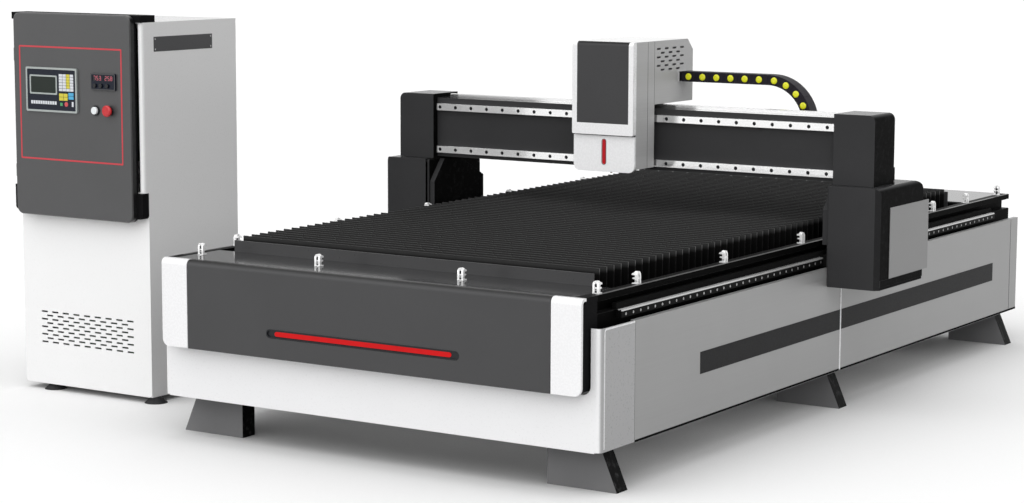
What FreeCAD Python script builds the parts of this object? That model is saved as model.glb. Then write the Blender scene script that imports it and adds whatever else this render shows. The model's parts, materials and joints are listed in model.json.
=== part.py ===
import FreeCAD, Part
import math
import os

os.makedirs("parts", exist_ok=True)

V = FreeCAD.Vector

# A flat-bed fibre laser cutting machine: a slatted bed on six feet, a gantry that travels along it,
# a cutting head that travels across the gantry, and a free-standing control cabinet beside the bed.
# Millimetres. X runs across the bed, Y along it from the operator's end, Z up from the floor.
# All places below are counted from the middle of the bed's front skirt, on the floor. Only at the
# end is everything moved so that the origin lies in the middle of the whole footprint.

# ---------------------------------------------------------------- driving dimensions: clearances
running_gap = 0.5        # between a linear rail and the block that slides on it
pinion_gap = 0.3         # between a pinion's pitch surface and its rack
shaft_gap = 0.05         # radial, shaft in a bore
panel_gap = 3.0          # shadow gap between two skins
moving_gap = 4.0         # between a gantry cover and the fixed bed skin beside it
sheet = 4.0              # skin thickness of bed, covers and cabinet

# ---------------------------------------------------------------- driving dimensions: bed
bed_length = 4450.0
bed_width = 2260.0
bed_clearance = 189.0    # floor to the underside of the bed
side_panel_top = 690.0
panel_lip = 20.0         # inward fold along the top and bottom of a side panel
corner_return = 269.0    # how far the front skirt folds back along each side
corner_round = 24.0
panel_seam_y = 2206.0    # joint between the front and rear side panels
tube = 100.0             # square tube of the welded lower frame
post = 60.0
post_count = 4

beam_inset = 55.0        # from the bed's side to the outer face of the side beams
beam_depth = 50.0
beam_flange = 26.0
beam_web_inset = 40.0    # from the outer face to the outer face of the web
beam_ledge_top = 738.0   # top of the box part under the channel
beam_ledge_height = 98.0
deck_z = 814.0           # top of the side beams and of both end decks
deck_thickness = 8.0

module_proud = 68.5      # front module, in front of the skirt
module_inset = 50.0      # from the bed's side to the end of the front module
module_bottom = 422.0
module_plate = 12.0
module_round = 25.0
housing_depth = 290.0
housing_inset = 5.0      # housing narrower than the end caps
housing_end_y = 60.0     # where the housing's full-height ends meet the side beams
cap_width = 142.0
cap_corner = 34.0
light_length = 1000.0
light_height = 40.0
light_z = 530.0
light_bar_length = 912.0
light_bar_height = 20.0
light_recess = 8.0

stripe_start_y = 824.0
stripe_end_gap = 351.0   # from the end of the stripe to the rear end
stripe_bottom = 383.0
stripe_top = 478.5
stripe_thickness = 1.0

foot_front_y = 177.0
foot_middle_y = 2256.0
foot_rear_gap = 90.0     # from the middle of the rear feet to the rear end
foot_depth = 86.0
foot_width = 331.0       # across the sole
foot_taper = 82.0

rail_height = 33.0
rail_proud = 25.0
rail_waist = 4.0
rail_start_y = 210.0
rail_end_gap = 266.0     # from the end of the rail to the rear end
rack_height = 26.0
rack_depth = 24.0

# ---------------------------------------------------------------- driving dimensions: cutting table
table_side_gap = 88.0    # from the side beam to the end of the table's walls
table_front_y = 262.0
rear_deck_length = 525.0
table_wall = 6.0
table_wall_top = 865.0
slat_end_gap = 7.0       # slats shorter than the table's walls, each end
slat_rear_gap = 36.0     # least distance from the last slat to the rear wall
slat_pitch = 58.5
slat_first_y = 320.0
slat_thickness = 6.0
slat_bottom = 730.0
slat_top = 880.0
slat_tooth = 9.0
slat_teeth = 6
comb_overhang = 25.0     # of the slats beyond the middle of a comb
comb_width = 20.0
comb_notch = 20.0
comb_gap = 0.5
middle_bar_xs = (-450.0, 0.0, 450.0)
cross_count = 6
cross_width = 80.0
cross_height = 50.0

stop_height = 53.0
stop_reach = 34.0
stop_width = 30.0
stop_slot = 12.0
stop_post = 20.0
stop_front_y = 96.0
stop_side_inset = 23.0   # from the side beam's outer face
stop_side_first = 420.0
stop_side_pitch = 760.0
stop_rear_corner = 550.0 # from the last side stop to the rear end
stop_side_least = 300.0  # least distance between the last two side stops
stop_corner_left = 86.0  # from the side beam's outer face to the front left stop
stop_corner_right = 25.0
stop_corner_rear = 33.0
stop_front_xs = (-341.0, 399.0)
stop_rear_xs = (-347.0, 347.0)

# ---------------------------------------------------------------- driving dimensions: gantry
gantry_y = 2294.5        # middle of the gantry's lower part
leg_plate = 12.0
leg_inset = 8.0          # from the bed's side in to the leg plate
leg_length = 470.0
leg_bottom = 694.0
stiffener = 8.0
saddle_height = 13.0
lower_cover_width = 254.0
lower_cover_front = 2044.0
lower_cover_rear = 2545.0
lower_cover_bottom = 605.0
lower_cover_top = 1076.0
lower_cover_round = 30.0
lower_cover_rear_round = 54.0
lower_cover_bevel = 22.0
side_plate_front = 2165.0
side_plate_rear = 2605.0
side_plate_bottom = 650.0
side_plate_top = 980.0
side_plate_thickness = 3.0
side_lip_height = 32.0
upper_cover_inset = 5.0  # from the bed's side in to the upper cover
upper_cover_width = 207.0
upper_cover_front = 2102.0
upper_cover_rear = 2324.0
upper_cover_top = 1406.0
upper_cover_round = 32.0

beam_front_y = 2140.0
beam_rear_y = 2320.0
beam_bottom = 1085.0
beam_top = 1385.0
beam_wall = 8.0
beam_end_gap = 12.0      # from the beam's end to the inside of its cover
beam_rail_gap = 6.0      # from the rail's end to the upper cover
beam_rail_height = 34.0
beam_rail_proud = 20.0
beam_rail_zs = (1105.0, 1322.0)
beam_rack_height = 18.0
beam_rack_width = 25.0
beam_rack_y = 2215.0
beam_rack_gap = 25.0     # from the rack's end to the upper cover

block_length = 110.0
block_spacing = 340.0
block_height = 53.0
block_depth = 39.0
y_pinion_radius = 60.0
y_pinion_width = 22.0
y_shaft_radius = 10.0
gearbox = 70.0
socket_depth = 20.0
shaft_reach = 15.0       # of the shaft into its socket
gearbox_height = 60.0
y_motor_radius = 33.0
y_motor_height = 120.0
motor_air = 3.0          # round a motor where it passes through a plate
gearbox_lift = 42.0      # from the top of the bed's rack to the underside of the gearbox
flare_depth = 27.0       # pressed cover over the motor, on the bed side of the leg
flare_shoulder = 112.0   # how far below the leg's top the cover reaches its full width

# ---------------------------------------------------------------- driving dimensions: cutting head
head_half = 170.0
head_front_y = 1900.0
head_frame_depth = 30.0
head_frame_bottom = 1267.0
head_top = 1713.0
head_frame_round = 18.0
head_panel_half = 143.0
head_panel_bottom = 1322.0
head_panel_depth = 8.0
lower_face_y = 1918.0
lower_face_top = 1262.0
lower_face_bottom = 1088.0
lower_face_corner = 34.0
head_side_bottom = 1104.0
head_step_y = 2105.0
head_step_z = 1407.0
head_rear_y = 2487.0
head_rear_cut = 54.0
head_light_half = 10.0
head_light_bottom = 1124.0
head_light_top = 1244.0
head_light_depth = 3.0
head_light_thickness = 2.0
light_fit = 0.5          # round the light in its slot
head_plate_thickness = 25.0
head_block_length = 90.0
head_block_offset = 100.0
head_block_margin = 12.0
x_pinion_radius = 30.0
x_pinion_width = 22.0
x_shaft_radius = 9.0
x_motor_size = 76.0
x_motor_length = 140.0
motor_hanger = 6.0
vent_length = 38.0
vent_height = 9.0
vent_rows = 6
vent_pitch_y = 77.0
vent_pitch_z = 20.4
vent_first_y = 2145.0
vent_first_z = 1674.0
z_drive_half = 40.0
z_drive_depth = 30.0
z_drive_top = 1640.0
z_stroke = 180.0
cutter_y = 1990.0
cutter_radius = 30.0
cutter_top = 1440.0
cutter_shoulder = 1190.0
nozzle_top = 1112.0
nozzle_tip = 1076.0
nozzle_radius = 14.0
nozzle_tip_radius = 4.0
cutter_neck_radius = 20.0
slider_half = 45.0
slider_bottom = 1300.0
slider_top = 1400.0

# ---------------------------------------------------------------- driving dimensions: cable chain
chain_front_y = 2340.0
chain_width = 80.0
chain_height = 50.0
chain_top_z = 1532.0     # centre line of the upper run
chain_radius = 212.5     # centre line of the bend
chain_pitch = 77.0
chain_bend_x = 660.0
chain_fixed_x = 200.0
chain_notch = 6.0
chain_bend_links = 10
chain_gap = 0.5          # between the last straight link and the bend
plug_radius = 16.0
plug_proud = 3.0
plug_sides = 12
chain_bracket = 6.0
tray_sheet = 3.0
tray_wall_top = 1140.0
tray_end_gap = 42.0      # from the tray's end to the outside of the upper cover

# ---------------------------------------------------------------- driving dimensions: cabinet
cabinet_gap = 511.0      # between the bed's side and the cabinet
cabinet_width = 813.0
cabinet_front = 495.0
cabinet_rear = 1150.0
cabinet_upper_front = 462.0
cabinet_shoulder = 1010.0
cabinet_bottom = 30.0
cabinet_top = 1810.0
cabinet_edge = 18.0
cabinet_shelf = 20.0
hood_inset = 35.0        # door and hood narrower than the cabinet, each side
hood_skirt = 138.0       # of the hood, below the cabinet's shoulder
hood_cap = 33.0          # of the hood, above the cabinet's top
hood_corner = 36.0
hood_front = 450.0
hood_lip_rear = 556.0
chin_height = 122.0
hood_wall = 22.0
door_thickness = 30.0
door_skin = 6.0
door_rim = 20.0
door_bevel = 5.0
door_gap = 0.4
hinge_radius = 8.0
hinge_pin_radius = 4.0
hinge_height = 30.0
hinge_offset = 12.0
hinge_setback = 4.0
hinge_low = 70.0         # lower hinge, above the cabinet's shoulder
hinge_drop = 170.0       # upper hinge, below the cabinet's top
cabinet_foot_radius = 56.0
cabinet_foot_neck = 22.0
cabinet_foot_sides = 20
cabinet_foot_left = 152.0
cabinet_foot_right = 16.0
cabinet_foot_inset_y = 45.0
slot_length = 40.0
slot_height = 8.0
slot_columns = 9
slot_rows = 9
slot_pitch_x = 69.0
slot_pitch_z = 18.7
slot_first_z = 387.0
source_size = (560.0, 420.0, 340.0)
board_margin = 70.0
board_thickness = 4.0
board_standoff = 40.0

cnc_width = 326.0
cnc_height = 212.0
cnc_left = 251.0         # from the hood's left edge to the middle of the controller
cnc_z = 1480.0
cnc_proud = 8.0
screen_width = 176.0
screen_height = 132.0
screen_offset_x = -52.0
screen_offset_z = 16.0
key_proud = 1.5
meter_width = 153.0
meter_height = 79.0
meter_left = 579.0
meter_z = 1530.0
meter_proud = 10.0
knob_offsets = (-48.0, -10.0, 29.0)
knob_z = 1511.0
knob_radius = 10.0
knob_proud = 9.0
button_stem = 9.0        # side of the square stem
stem_gap = 0.5
stem_reach = 4.0         # of a stem out of the door's inner face
start_left = 524.0
start_z = 1393.0
start_radius = 18.0
start_proud = 16.0
estop_left = 612.0
estop_z = 1395.0
estop_radius = 27.0
estop_proud = 32.0
push_travel = 5.0
button_bevel = 1.5
estop_bevel = 6.0
estop_neck = 16.0
estop_neck_proud = 19.0
estop_head_depth = 14.0
knob_travel = 2.5

# ---------------------------------------------------------------- sizes that follow from these
bed_half = bed_width / 2
skin_in = bed_half - sheet
beam_outer_x = bed_half - beam_inset
module_half = bed_half - module_inset
stripe_end_y = bed_length - stripe_end_gap
foot_ys = (foot_front_y, foot_middle_y, bed_length - foot_rear_gap)
foot_inner_x = bed_half - foot_width
rail_end_y = bed_length - rail_end_gap
beam_inner_x = beam_outer_x - beam_depth
web_outer_x = beam_outer_x - beam_web_inset
ledge_bottom = beam_ledge_top - beam_ledge_height
rail_outer_x = beam_outer_x + rail_proud
rail_top = beam_ledge_top
rail_bottom = rail_top - rail_height
rack_outer_x = beam_outer_x + pinion_gap * 10
pinion_x = rack_outer_x + y_pinion_radius + pinion_gap
leg_plate_x = bed_half - leg_inset
rack_top = beam_ledge_top + rack_height
gearbox_bottom = rack_top + gearbox_lift
gearbox_top = gearbox_bottom + gearbox_height
motor_top = gearbox_top + y_motor_height
deck_under = deck_z - deck_thickness
module_y = -module_proud
slot_plane_y = module_y + module_plate
bed_rear_skin = bed_length - sheet
deck_front_y = module_y + module_round + module_plate + panel_gap
table_half = beam_inner_x - table_side_gap
table_rear_y = bed_length - rear_deck_length
slat_half = table_half - slat_end_gap
slat_count = 1 + int((table_rear_y - slat_rear_gap - slat_first_y) // slat_pitch)
comb_x = slat_half - comb_overhang
comb_top = slat_bottom + comb_notch
stop_side_x = beam_outer_x - stop_side_inset
stop_corner_y = bed_length - stop_rear_corner
stop_side_count = 1 + int((stop_corner_y - stop_side_least - stop_side_first) // stop_side_pitch)
bar_bottom = ledge_bottom + cross_height
beam_middle_y = (beam_front_y + beam_rear_y) / 2
rail_front_y = beam_front_y - beam_rail_proud
cover_inner_x = leg_plate_x + leg_plate
lower_cover_outer = cover_inner_x + lower_cover_width
upper_cover_inner = bed_half - upper_cover_inset
upper_cover_outer = upper_cover_inner + upper_cover_width
beam_half = upper_cover_outer - sheet - beam_end_gap
beam_rail_half = upper_cover_inner - beam_rail_gap
beam_rack_half = upper_cover_inner - beam_rack_gap
tray_end_x = upper_cover_outer - tray_end_gap
pinion_z = beam_top + beam_rack_height + pinion_gap + x_pinion_radius
chain_low_z = chain_top_z - 2 * chain_radius
chain_mid_z = chain_top_z - chain_radius
chain_rear_y = chain_front_y + chain_width
chain_start_x = head_half + chain_bracket
tray_floor = chain_low_z - chain_height / 2 - 1.0
cabinet_right = -bed_half - cabinet_gap
cabinet_left = cabinet_right - cabinet_width
cabinet_mid = (cabinet_left + cabinet_right) / 2
hood_bottom = cabinet_shoulder - hood_skirt
hood_top = cabinet_top + hood_cap
hood_left = cabinet_left + hood_inset
hood_right = cabinet_right - hood_inset
cnc_x = hood_left + cnc_left
meter_x = hood_left + meter_left
knob_xs = [meter_x + offset for offset in knob_offsets]
start_x = hood_left + start_left
estop_x = hood_left + estop_left
door_rear = hood_front - door_gap
door_front = hood_front - door_thickness
hinge_x = hood_left - hinge_offset
hinge_zs = (cabinet_shoulder + hinge_low, cabinet_top - hinge_drop)
hinge_y = hood_front - hinge_setback
leg_front = gantry_y - leg_length / 2
leg_rear = gantry_y + leg_length / 2
stop_rear_y = bed_length - stop_front_y


# ---------------------------------------------------------------- shape helpers
def box(x0, x1, y0, y1, z0, z1):
    """A block between two corners."""
    return Part.makeBox(x1 - x0, y1 - y0, z1 - z0, V(x0, y0, z0))


def prism_xz(points, y0, y1):
    """An outline in the XZ plane, carried along Y."""
    loop = [V(x, y0, z) for x, z in points]
    return Part.Face(Part.makePolygon(loop + loop[:1])).extrude(V(0, y1 - y0, 0))


def prism_yz(points, x0, x1):
    """An outline in the YZ plane, carried along X."""
    loop = [V(x0, y, z) for y, z in points]
    return Part.Face(Part.makePolygon(loop + loop[:1])).extrude(V(x1 - x0, 0, 0))


def prism_xy(points, z0, z1):
    """An outline in the XY plane, carried along Z."""
    loop = [V(x, y, z0) for x, y in points]
    return Part.Face(Part.makePolygon(loop + loop[:1])).extrude(V(0, 0, z1 - z0))


def rod(radius, start, end):
    """A round bar from one point to another."""
    along = end - start
    return Part.makeCylinder(radius, along.Length, start, along)


def mirrored(shape):
    """The same piece on the other side of the bed."""
    return shape.mirror(V(0, 0, 0), V(1, 0, 0))


def both(shape):
    """A piece and its mirror image, as one group."""
    return Part.makeCompound([shape, mirrored(shape)])


def edges_along(shape, axis, where):
    """Straight edges that run along X, Y or Z and whose middle passes the test."""
    index = "XYZ".index(axis)
    found = []
    for edge in shape.Edges:
        ends = [vertex.Point for vertex in edge.Vertexes]
        if len(ends) != 2:
            continue
        span = ends[1] - ends[0]
        if abs(abs(span[index]) - span.Length) > 0.001:
            continue
        if where((ends[0] + ends[1]) * 0.5):
            found.append(edge)
    return found


def near(value, target):
    return abs(value - target) < 0.01


def fused(pieces):
    """Welded or moulded in one: the pieces as a single solid."""
    whole = pieces[0].fuse(pieces[1:]) if len(pieces) > 1 else pieces[0]
    return whole.removeSplitter()


def rounded_plate(x0, x1, y0, y1, z0, z1, corner):
    """A plate that faces -Y, with four rounded corners."""
    plate = box(x0, x1, y0, y1, z0, z1)
    return plate.makeFillet(corner, edges_along(plate, "Y", lambda p: True))


def slot_xz(x, z, length, height, y0, y1):
    """A flat-ended louvre slot through a plate that faces Y."""
    return box(x - length / 2, x + length / 2, y0, y1, z - height / 2, z + height / 2)


def rounded_slot_xz(x, z, length, height, y0, y1):
    """A round-ended slot or bar along X, through a plate that faces Y."""
    bar = box(x - length / 2, x + length / 2, y0, y1, z - height / 2, z + height / 2)
    return bar.makeFillet(height / 2 - 0.01, edges_along(bar, "Y", lambda p: True))


origin = V(
    (cabinet_left + lower_cover_outer + side_plate_thickness) / 2,
    (module_y + bed_length) / 2,
    0,
)


def save(name, shape):
    """Moves a node into the part's own frame and writes it."""
    placed = shape.copy()
    placed.translate(origin * -1)
    placed.exportStep("parts/" + name + ".step")


# ---------------------------------------------------------------- bed
def side_beams():
    """Welded side beams: a channel that opens outwards, on a box that carries the linear rail."""
    outline = [
        (beam_inner_x, ledge_bottom),
        (beam_outer_x, ledge_bottom),
        (beam_outer_x, beam_ledge_top),
        (web_outer_x, beam_ledge_top),
        (web_outer_x, deck_z - beam_flange),
        (beam_outer_x, deck_z - beam_flange),
        (beam_outer_x, deck_z),
        (beam_inner_x, deck_z),
    ]
    return both(prism_xz(outline, housing_end_y, bed_rear_skin))


def bed_frame():
    """Welded lower frame: two long tubes, a cross tube over each pair of feet, and the posts."""
    pieces = []
    low = bed_clearance
    for side in (-1, 1):
        outer = side * skin_in
        inner = side * (skin_in - tube)
        x0, x1 = sorted((outer, inner))
        pieces.append(box(x0, x1, corner_round, bed_rear_skin, low, low + tube))
        post_x = side * (beam_outer_x - post / 2)
        first_y = slot_plane_y + housing_depth + post
        span = foot_ys[-1] - first_y
        for index in range(post_count):
            y = first_y + span * index / (post_count - 1)
            pieces.append(
                box(
                    post_x - post / 2,
                    post_x + post / 2,
                    y - post / 2,
                    y + post / 2,
                    low + tube,
                    ledge_bottom,
                )
            )
    pieces.append(
        box(
            -beam_inner_x,
            beam_inner_x,
            bed_rear_skin - tube,
            bed_rear_skin,
            ledge_bottom,
            deck_under,
        )
    )
    reach = skin_in - tube
    for y in foot_ys:
        pieces.append(box(-reach, reach, y - tube / 2, y + tube / 2, low, low + tube))
    return Part.makeCompound(pieces)


def side_panel(y0, y1):
    """A folded skin on the right-hand side of the bed, with a lip along its top and bottom."""
    lip_x = skin_in - panel_lip
    outline = [
        (bed_half, bed_clearance - sheet),
        (bed_half, side_panel_top),
        (lip_x, side_panel_top),
        (lip_x, side_panel_top - sheet),
        (skin_in, side_panel_top - sheet),
        (skin_in, bed_clearance),
        (lip_x, bed_clearance),
        (lip_x, bed_clearance - sheet),
    ]
    return prism_xz(outline, y0, y1)


def side_panels():
    half_gap = panel_gap / 2
    front = side_panel(corner_return + panel_gap, panel_seam_y - half_gap)
    rear = side_panel(panel_seam_y + half_gap, bed_rear_skin)
    return Part.makeCompound([front, rear])


def skirt_outline(offset):
    """The skirt's plan: across the front and back along both sides, rounded at the corners."""
    half = bed_half - offset
    plan = box(-half, half, offset, corner_return + 1, bed_clearance, side_panel_top)
    corners = edges_along(plan, "Z", lambda p: near(p.y, offset))
    plan = plan.makeFillet(corner_round - offset, corners)
    return plan


def front_skirt():
    """One folded skin round the operator's end, cut away where the front module stands proud."""
    low = bed_clearance - sheet
    outer = skirt_outline(0)
    inner = skirt_outline(sheet)
    skin = outer.cut(inner)
    skin = skin.cut(box(-bed_width, bed_width, corner_return, bed_length, 0, deck_z))
    half = module_half + panel_gap
    window = box(-half, half, -sheet, corner_round, module_bottom - panel_gap, deck_z)
    window = window.makeFillet(
        cap_corner + panel_gap,
        edges_along(window, "Y", lambda p: near(p.z, module_bottom - panel_gap)),
    )
    fold = box(-skin_in + corner_round, skin_in - corner_round, 0, panel_lip, low, bed_clearance)
    return fused([skin.cut(window), fold])


def rear_panel():
    """Skin across the rear end, stepped in where the side beams run out."""
    gap = panel_gap / 2
    outline = [
        (-skin_in, bed_clearance),
        (skin_in, bed_clearance),
        (skin_in, ledge_bottom - gap),
        (beam_inner_x - gap, ledge_bottom - gap),
        (beam_inner_x - gap, deck_under),
        (-beam_inner_x + gap, deck_under),
        (-beam_inner_x + gap, ledge_bottom - gap),
        (-skin_in, ledge_bottom - gap),
    ]
    return prism_xz(outline, bed_rear_skin, bed_length)


def side_stripes():
    """The dark band along each side panel."""
    half_gap = panel_gap / 2
    x1 = bed_half + stripe_thickness
    front = box(
        bed_half, x1, stripe_start_y, panel_seam_y - half_gap, stripe_bottom, stripe_top
    )
    rear = box(
        bed_half, x1, panel_seam_y + half_gap, stripe_end_y, stripe_bottom, stripe_top
    )
    return both(Part.makeCompound([front, rear]))


def front_housing():
    """Box beam behind the front cover; it ties the two side beams together."""
    y0 = slot_plane_y
    y1 = y0 + housing_depth
    half = module_half - housing_inset
    low = module_bottom + housing_inset
    shoulder = deck_z - module_round
    pieces = []
    for start, end, top in ((y0, housing_end_y, shoulder), (housing_end_y, y1, ledge_bottom)):
        wide = box(-half, half, start, end, low, top)
        corners = edges_along(wide, "Y", lambda p: near(p.z, low))
        pieces.append(wide.makeFillet(cap_corner, corners))
    inner = beam_inner_x
    pieces.append(box(-inner, inner, housing_end_y, y1, ledge_bottom, shoulder))
    pieces.append(box(-inner, inner, deck_front_y, y1, shoulder, deck_under))
    for x0, x1 in ((-half, -inner), (inner, half)):
        pieces.append(box(x0, x1, deck_front_y, housing_end_y, shoulder, deck_z))
    hollow = box(
        -beam_inner_x + module_plate,
        beam_inner_x - module_plate,
        y0 + module_plate,
        y1 + 1,
        low + module_plate,
        deck_under - 2 * module_plate,
    )
    return fused(pieces).cut(hollow)


def rolled_plate(x0, x1):
    """A length of the front module's skin: upright, and rolled back over the top."""
    top = deck_z
    lip = module_round + module_plate
    outer = box(x0, x1, module_y, module_y + lip, module_bottom, top)
    rolled = edges_along(outer, "X", lambda p: near(p.z, top) and near(p.y, module_y))
    outer = outer.makeFillet(module_round, rolled)
    under = top - module_plate
    inner = box(x0 - 1, x1 + 1, slot_plane_y, module_y + lip + 1, module_bottom - 1, under)
    corner = edges_along(inner, "X", lambda p: near(p.z, under) and near(p.y, slot_plane_y))
    return outer.cut(inner.makeFillet(module_round - module_plate, corner))


def front_cover():
    """The dark panel across the front, with the light's recess."""
    half = module_half - cap_width - panel_gap
    recess = rounded_slot_xz(
        0, light_z, light_length, light_height, module_y - 1, module_y + light_recess
    )
    return rolled_plate(-half, half).cut(recess)


def light_bar():
    """Red diffuser in the recess."""
    return rounded_slot_xz(
        0,
        light_z,
        light_bar_length,
        light_bar_height,
        module_y + light_recess / 2,
        module_y + light_recess,
    )


def front_end_caps():
    """White caps that close the front module left and right."""
    cap = rolled_plate(module_half - cap_width, module_half)
    corners = edges_along(
        cap, "Y", lambda p: near(p.x, module_half) and near(p.z, module_bottom)
    )
    return both(cap.makeFillet(cap_corner, corners))


def end_decks():
    """Flat decks in front of and behind the cutting table."""
    half = beam_inner_x - panel_gap / 2
    front = box(-half, half, deck_front_y, table_front_y, deck_under, deck_z)
    rear = box(-half, half, table_rear_y, bed_length, deck_under, deck_z)
    return Part.makeCompound([front, rear])


def bed_feet():
    """Six wedge-shaped feet: upright inside, leaning out to a wider base."""
    outline = [
        (foot_inner_x, 0),
        (bed_half, 0),
        (bed_half - foot_taper, bed_clearance),
        (foot_inner_x, bed_clearance),
    ]
    feet = []
    for y in foot_ys:
        foot = prism_xz(outline, y - foot_depth / 2, y + foot_depth / 2)
        feet += [foot, mirrored(foot)]
    return Part.makeCompound(feet)


def bed_rails():
    """Linear rails on the outer faces of the side beams, with waisted flanks."""
    neck = beam_outer_x + rail_proud / 2
    outline = [
        (beam_outer_x, rail_bottom),
        (neck - rail_waist, rail_bottom + rail_waist),
        (rail_outer_x, rail_bottom),
        (rail_outer_x, rail_top),
        (neck - rail_waist, rail_top - rail_waist),
        (beam_outer_x, rail_top),
    ]
    return both(prism_xz(outline, rail_start_y, rail_end_y))


def bed_racks():
    """Gear racks that lie on the beams' ledge, toothed face outwards."""
    x0 = rack_outer_x - rack_depth
    bar = box(
        x0, rack_outer_x, rail_start_y, rail_end_y, beam_ledge_top, beam_ledge_top + rack_height
    )
    return both(bar)


# ---------------------------------------------------------------- cutting table
def table_walls():
    """Upright plates that close the slatted table at both ends."""
    front = box(
        -table_half, table_half, table_front_y, table_front_y + table_wall, bar_bottom, table_wall_top
    )
    rear = box(
        -table_half, table_half, table_rear_y - table_wall, table_rear_y, bar_bottom, table_wall_top
    )
    return Part.makeCompound([front, rear])


def slat_y(index):
    return slat_first_y + slat_pitch * index


def slat_combs():
    """Cross members, plain middle bars, and notched side bars that hold the slats upright."""
    y0 = table_front_y + table_wall
    y1 = table_rear_y - table_wall
    pieces = []
    reach = beam_inner_x
    for index in range(cross_count):
        y = y0 + cross_width + (y1 - y0 - 2 * cross_width) * index / (cross_count - 1)
        pieces.append(
            box(-reach, reach, y - cross_width / 2, y + cross_width / 2, ledge_bottom, bar_bottom)
        )
    for x in middle_bar_xs:
        pieces.append(
            box(x - comb_width / 2, x + comb_width / 2, y0, y1, bar_bottom, slat_bottom)
        )
    notch = slat_thickness / 2 + comb_gap
    outline = [(y0, bar_bottom), (y1, bar_bottom), (y1, comb_top)]
    for index in reversed(range(slat_count)):
        y = slat_y(index)
        outline += [
            (y + notch, comb_top),
            (y + notch, slat_bottom),
            (y - notch, slat_bottom),
            (y - notch, comb_top),
        ]
    outline.append((y0, comb_top))
    comb = prism_yz(outline, comb_x - comb_width / 2, comb_x + comb_width / 2)
    pieces += [comb, mirrored(comb)]
    return Part.makeCompound(pieces)


def slats():
    """Thin upright slats with a saw-toothed top edge, resting in the combs."""
    valley = slat_top - slat_tooth
    step = 2 * slat_half / slat_teeth
    outline = [(-slat_half, slat_bottom), (slat_half, slat_bottom), (slat_half, slat_top)]
    for index in range(slat_teeth):
        x = slat_half - step * index
        outline.append((x - step / 2, valley))
        outline.append((x - step, slat_top))
    pieces = []
    for index in range(slat_count):
        y = slat_y(index)
        pieces.append(prism_xz(outline, y - slat_thickness / 2, y + slat_thickness / 2))
    return Part.makeCompound(pieces)


def edge_stop():
    """A sheet stop that faces -X: two cheeks on a foot, each an upright with a hook at the top."""
    post_x = stop_post / 2
    top = stop_height
    outline = [
        (post_x, 0),
        (post_x, top * 0.62),
        (post_x + stop_post * 0.3, top * 0.68),
        (post_x - stop_post * 0.2, top * 0.92),
        (-post_x * 0.6, top),
        (-stop_reach * 0.42, top * 0.9),
        (post_x - stop_reach, top * 0.62),
        (-post_x, top * 0.6),
        (-post_x, top * 0.36),
        (post_x - stop_reach, top * 0.3),
        (post_x - stop_reach * 0.8, 0),
    ]
    body = prism_xz(outline, -stop_width / 2, stop_width / 2)
    slot = box(
        -stop_reach, stop_reach, -stop_slot / 2, stop_slot / 2, top * 0.14, top * 0.8
    )
    return body.cut(slot)


def placed_stop(x, y, turn):
    stop = edge_stop()
    stop.rotate(V(0, 0, 0), V(0, 0, 1), turn)
    stop.translate(V(x, y, deck_z))
    return stop


def edge_stops():
    """Rows of stops along all four edges, each facing the table."""
    pieces = []
    side_ys = [stop_side_first + stop_side_pitch * index for index in range(stop_side_count)]
    side_ys.append(stop_corner_y)
    for y in side_ys:
        pieces.append(placed_stop(stop_side_x, y, 0))
        pieces.append(placed_stop(-stop_side_x, y, 180))
    corners = (stop_corner_left - beam_outer_x, beam_outer_x - stop_corner_right)
    for x in corners + stop_front_xs:
        pieces.append(placed_stop(x, stop_front_y, -90))
    corners = (stop_corner_rear - beam_outer_x, beam_outer_x - stop_corner_rear)
    for x in corners + stop_rear_xs:
        pieces.append(placed_stop(x, stop_rear_y, 90))
    return Part.makeCompound(pieces)


# ---------------------------------------------------------------- gantry
def leg_windows():
    """Openings through the leg: a wide one for the pinion, a narrow one for the motor."""
    x0 = leg_plate_x - flare_depth + sheet
    x1 = cover_inner_x + 1
    wide = y_pinion_radius + motor_air
    narrow = gearbox / 2 + motor_air
    split = rack_top + motor_air
    pinion_way = box(x0, x1, gantry_y - wide, gantry_y + wide, leg_bottom - 1, split)
    motor_way = box(x0, x1, gantry_y - narrow, gantry_y + narrow, split, motor_top + motor_air)
    return pinion_way.fuse(motor_way)


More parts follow.
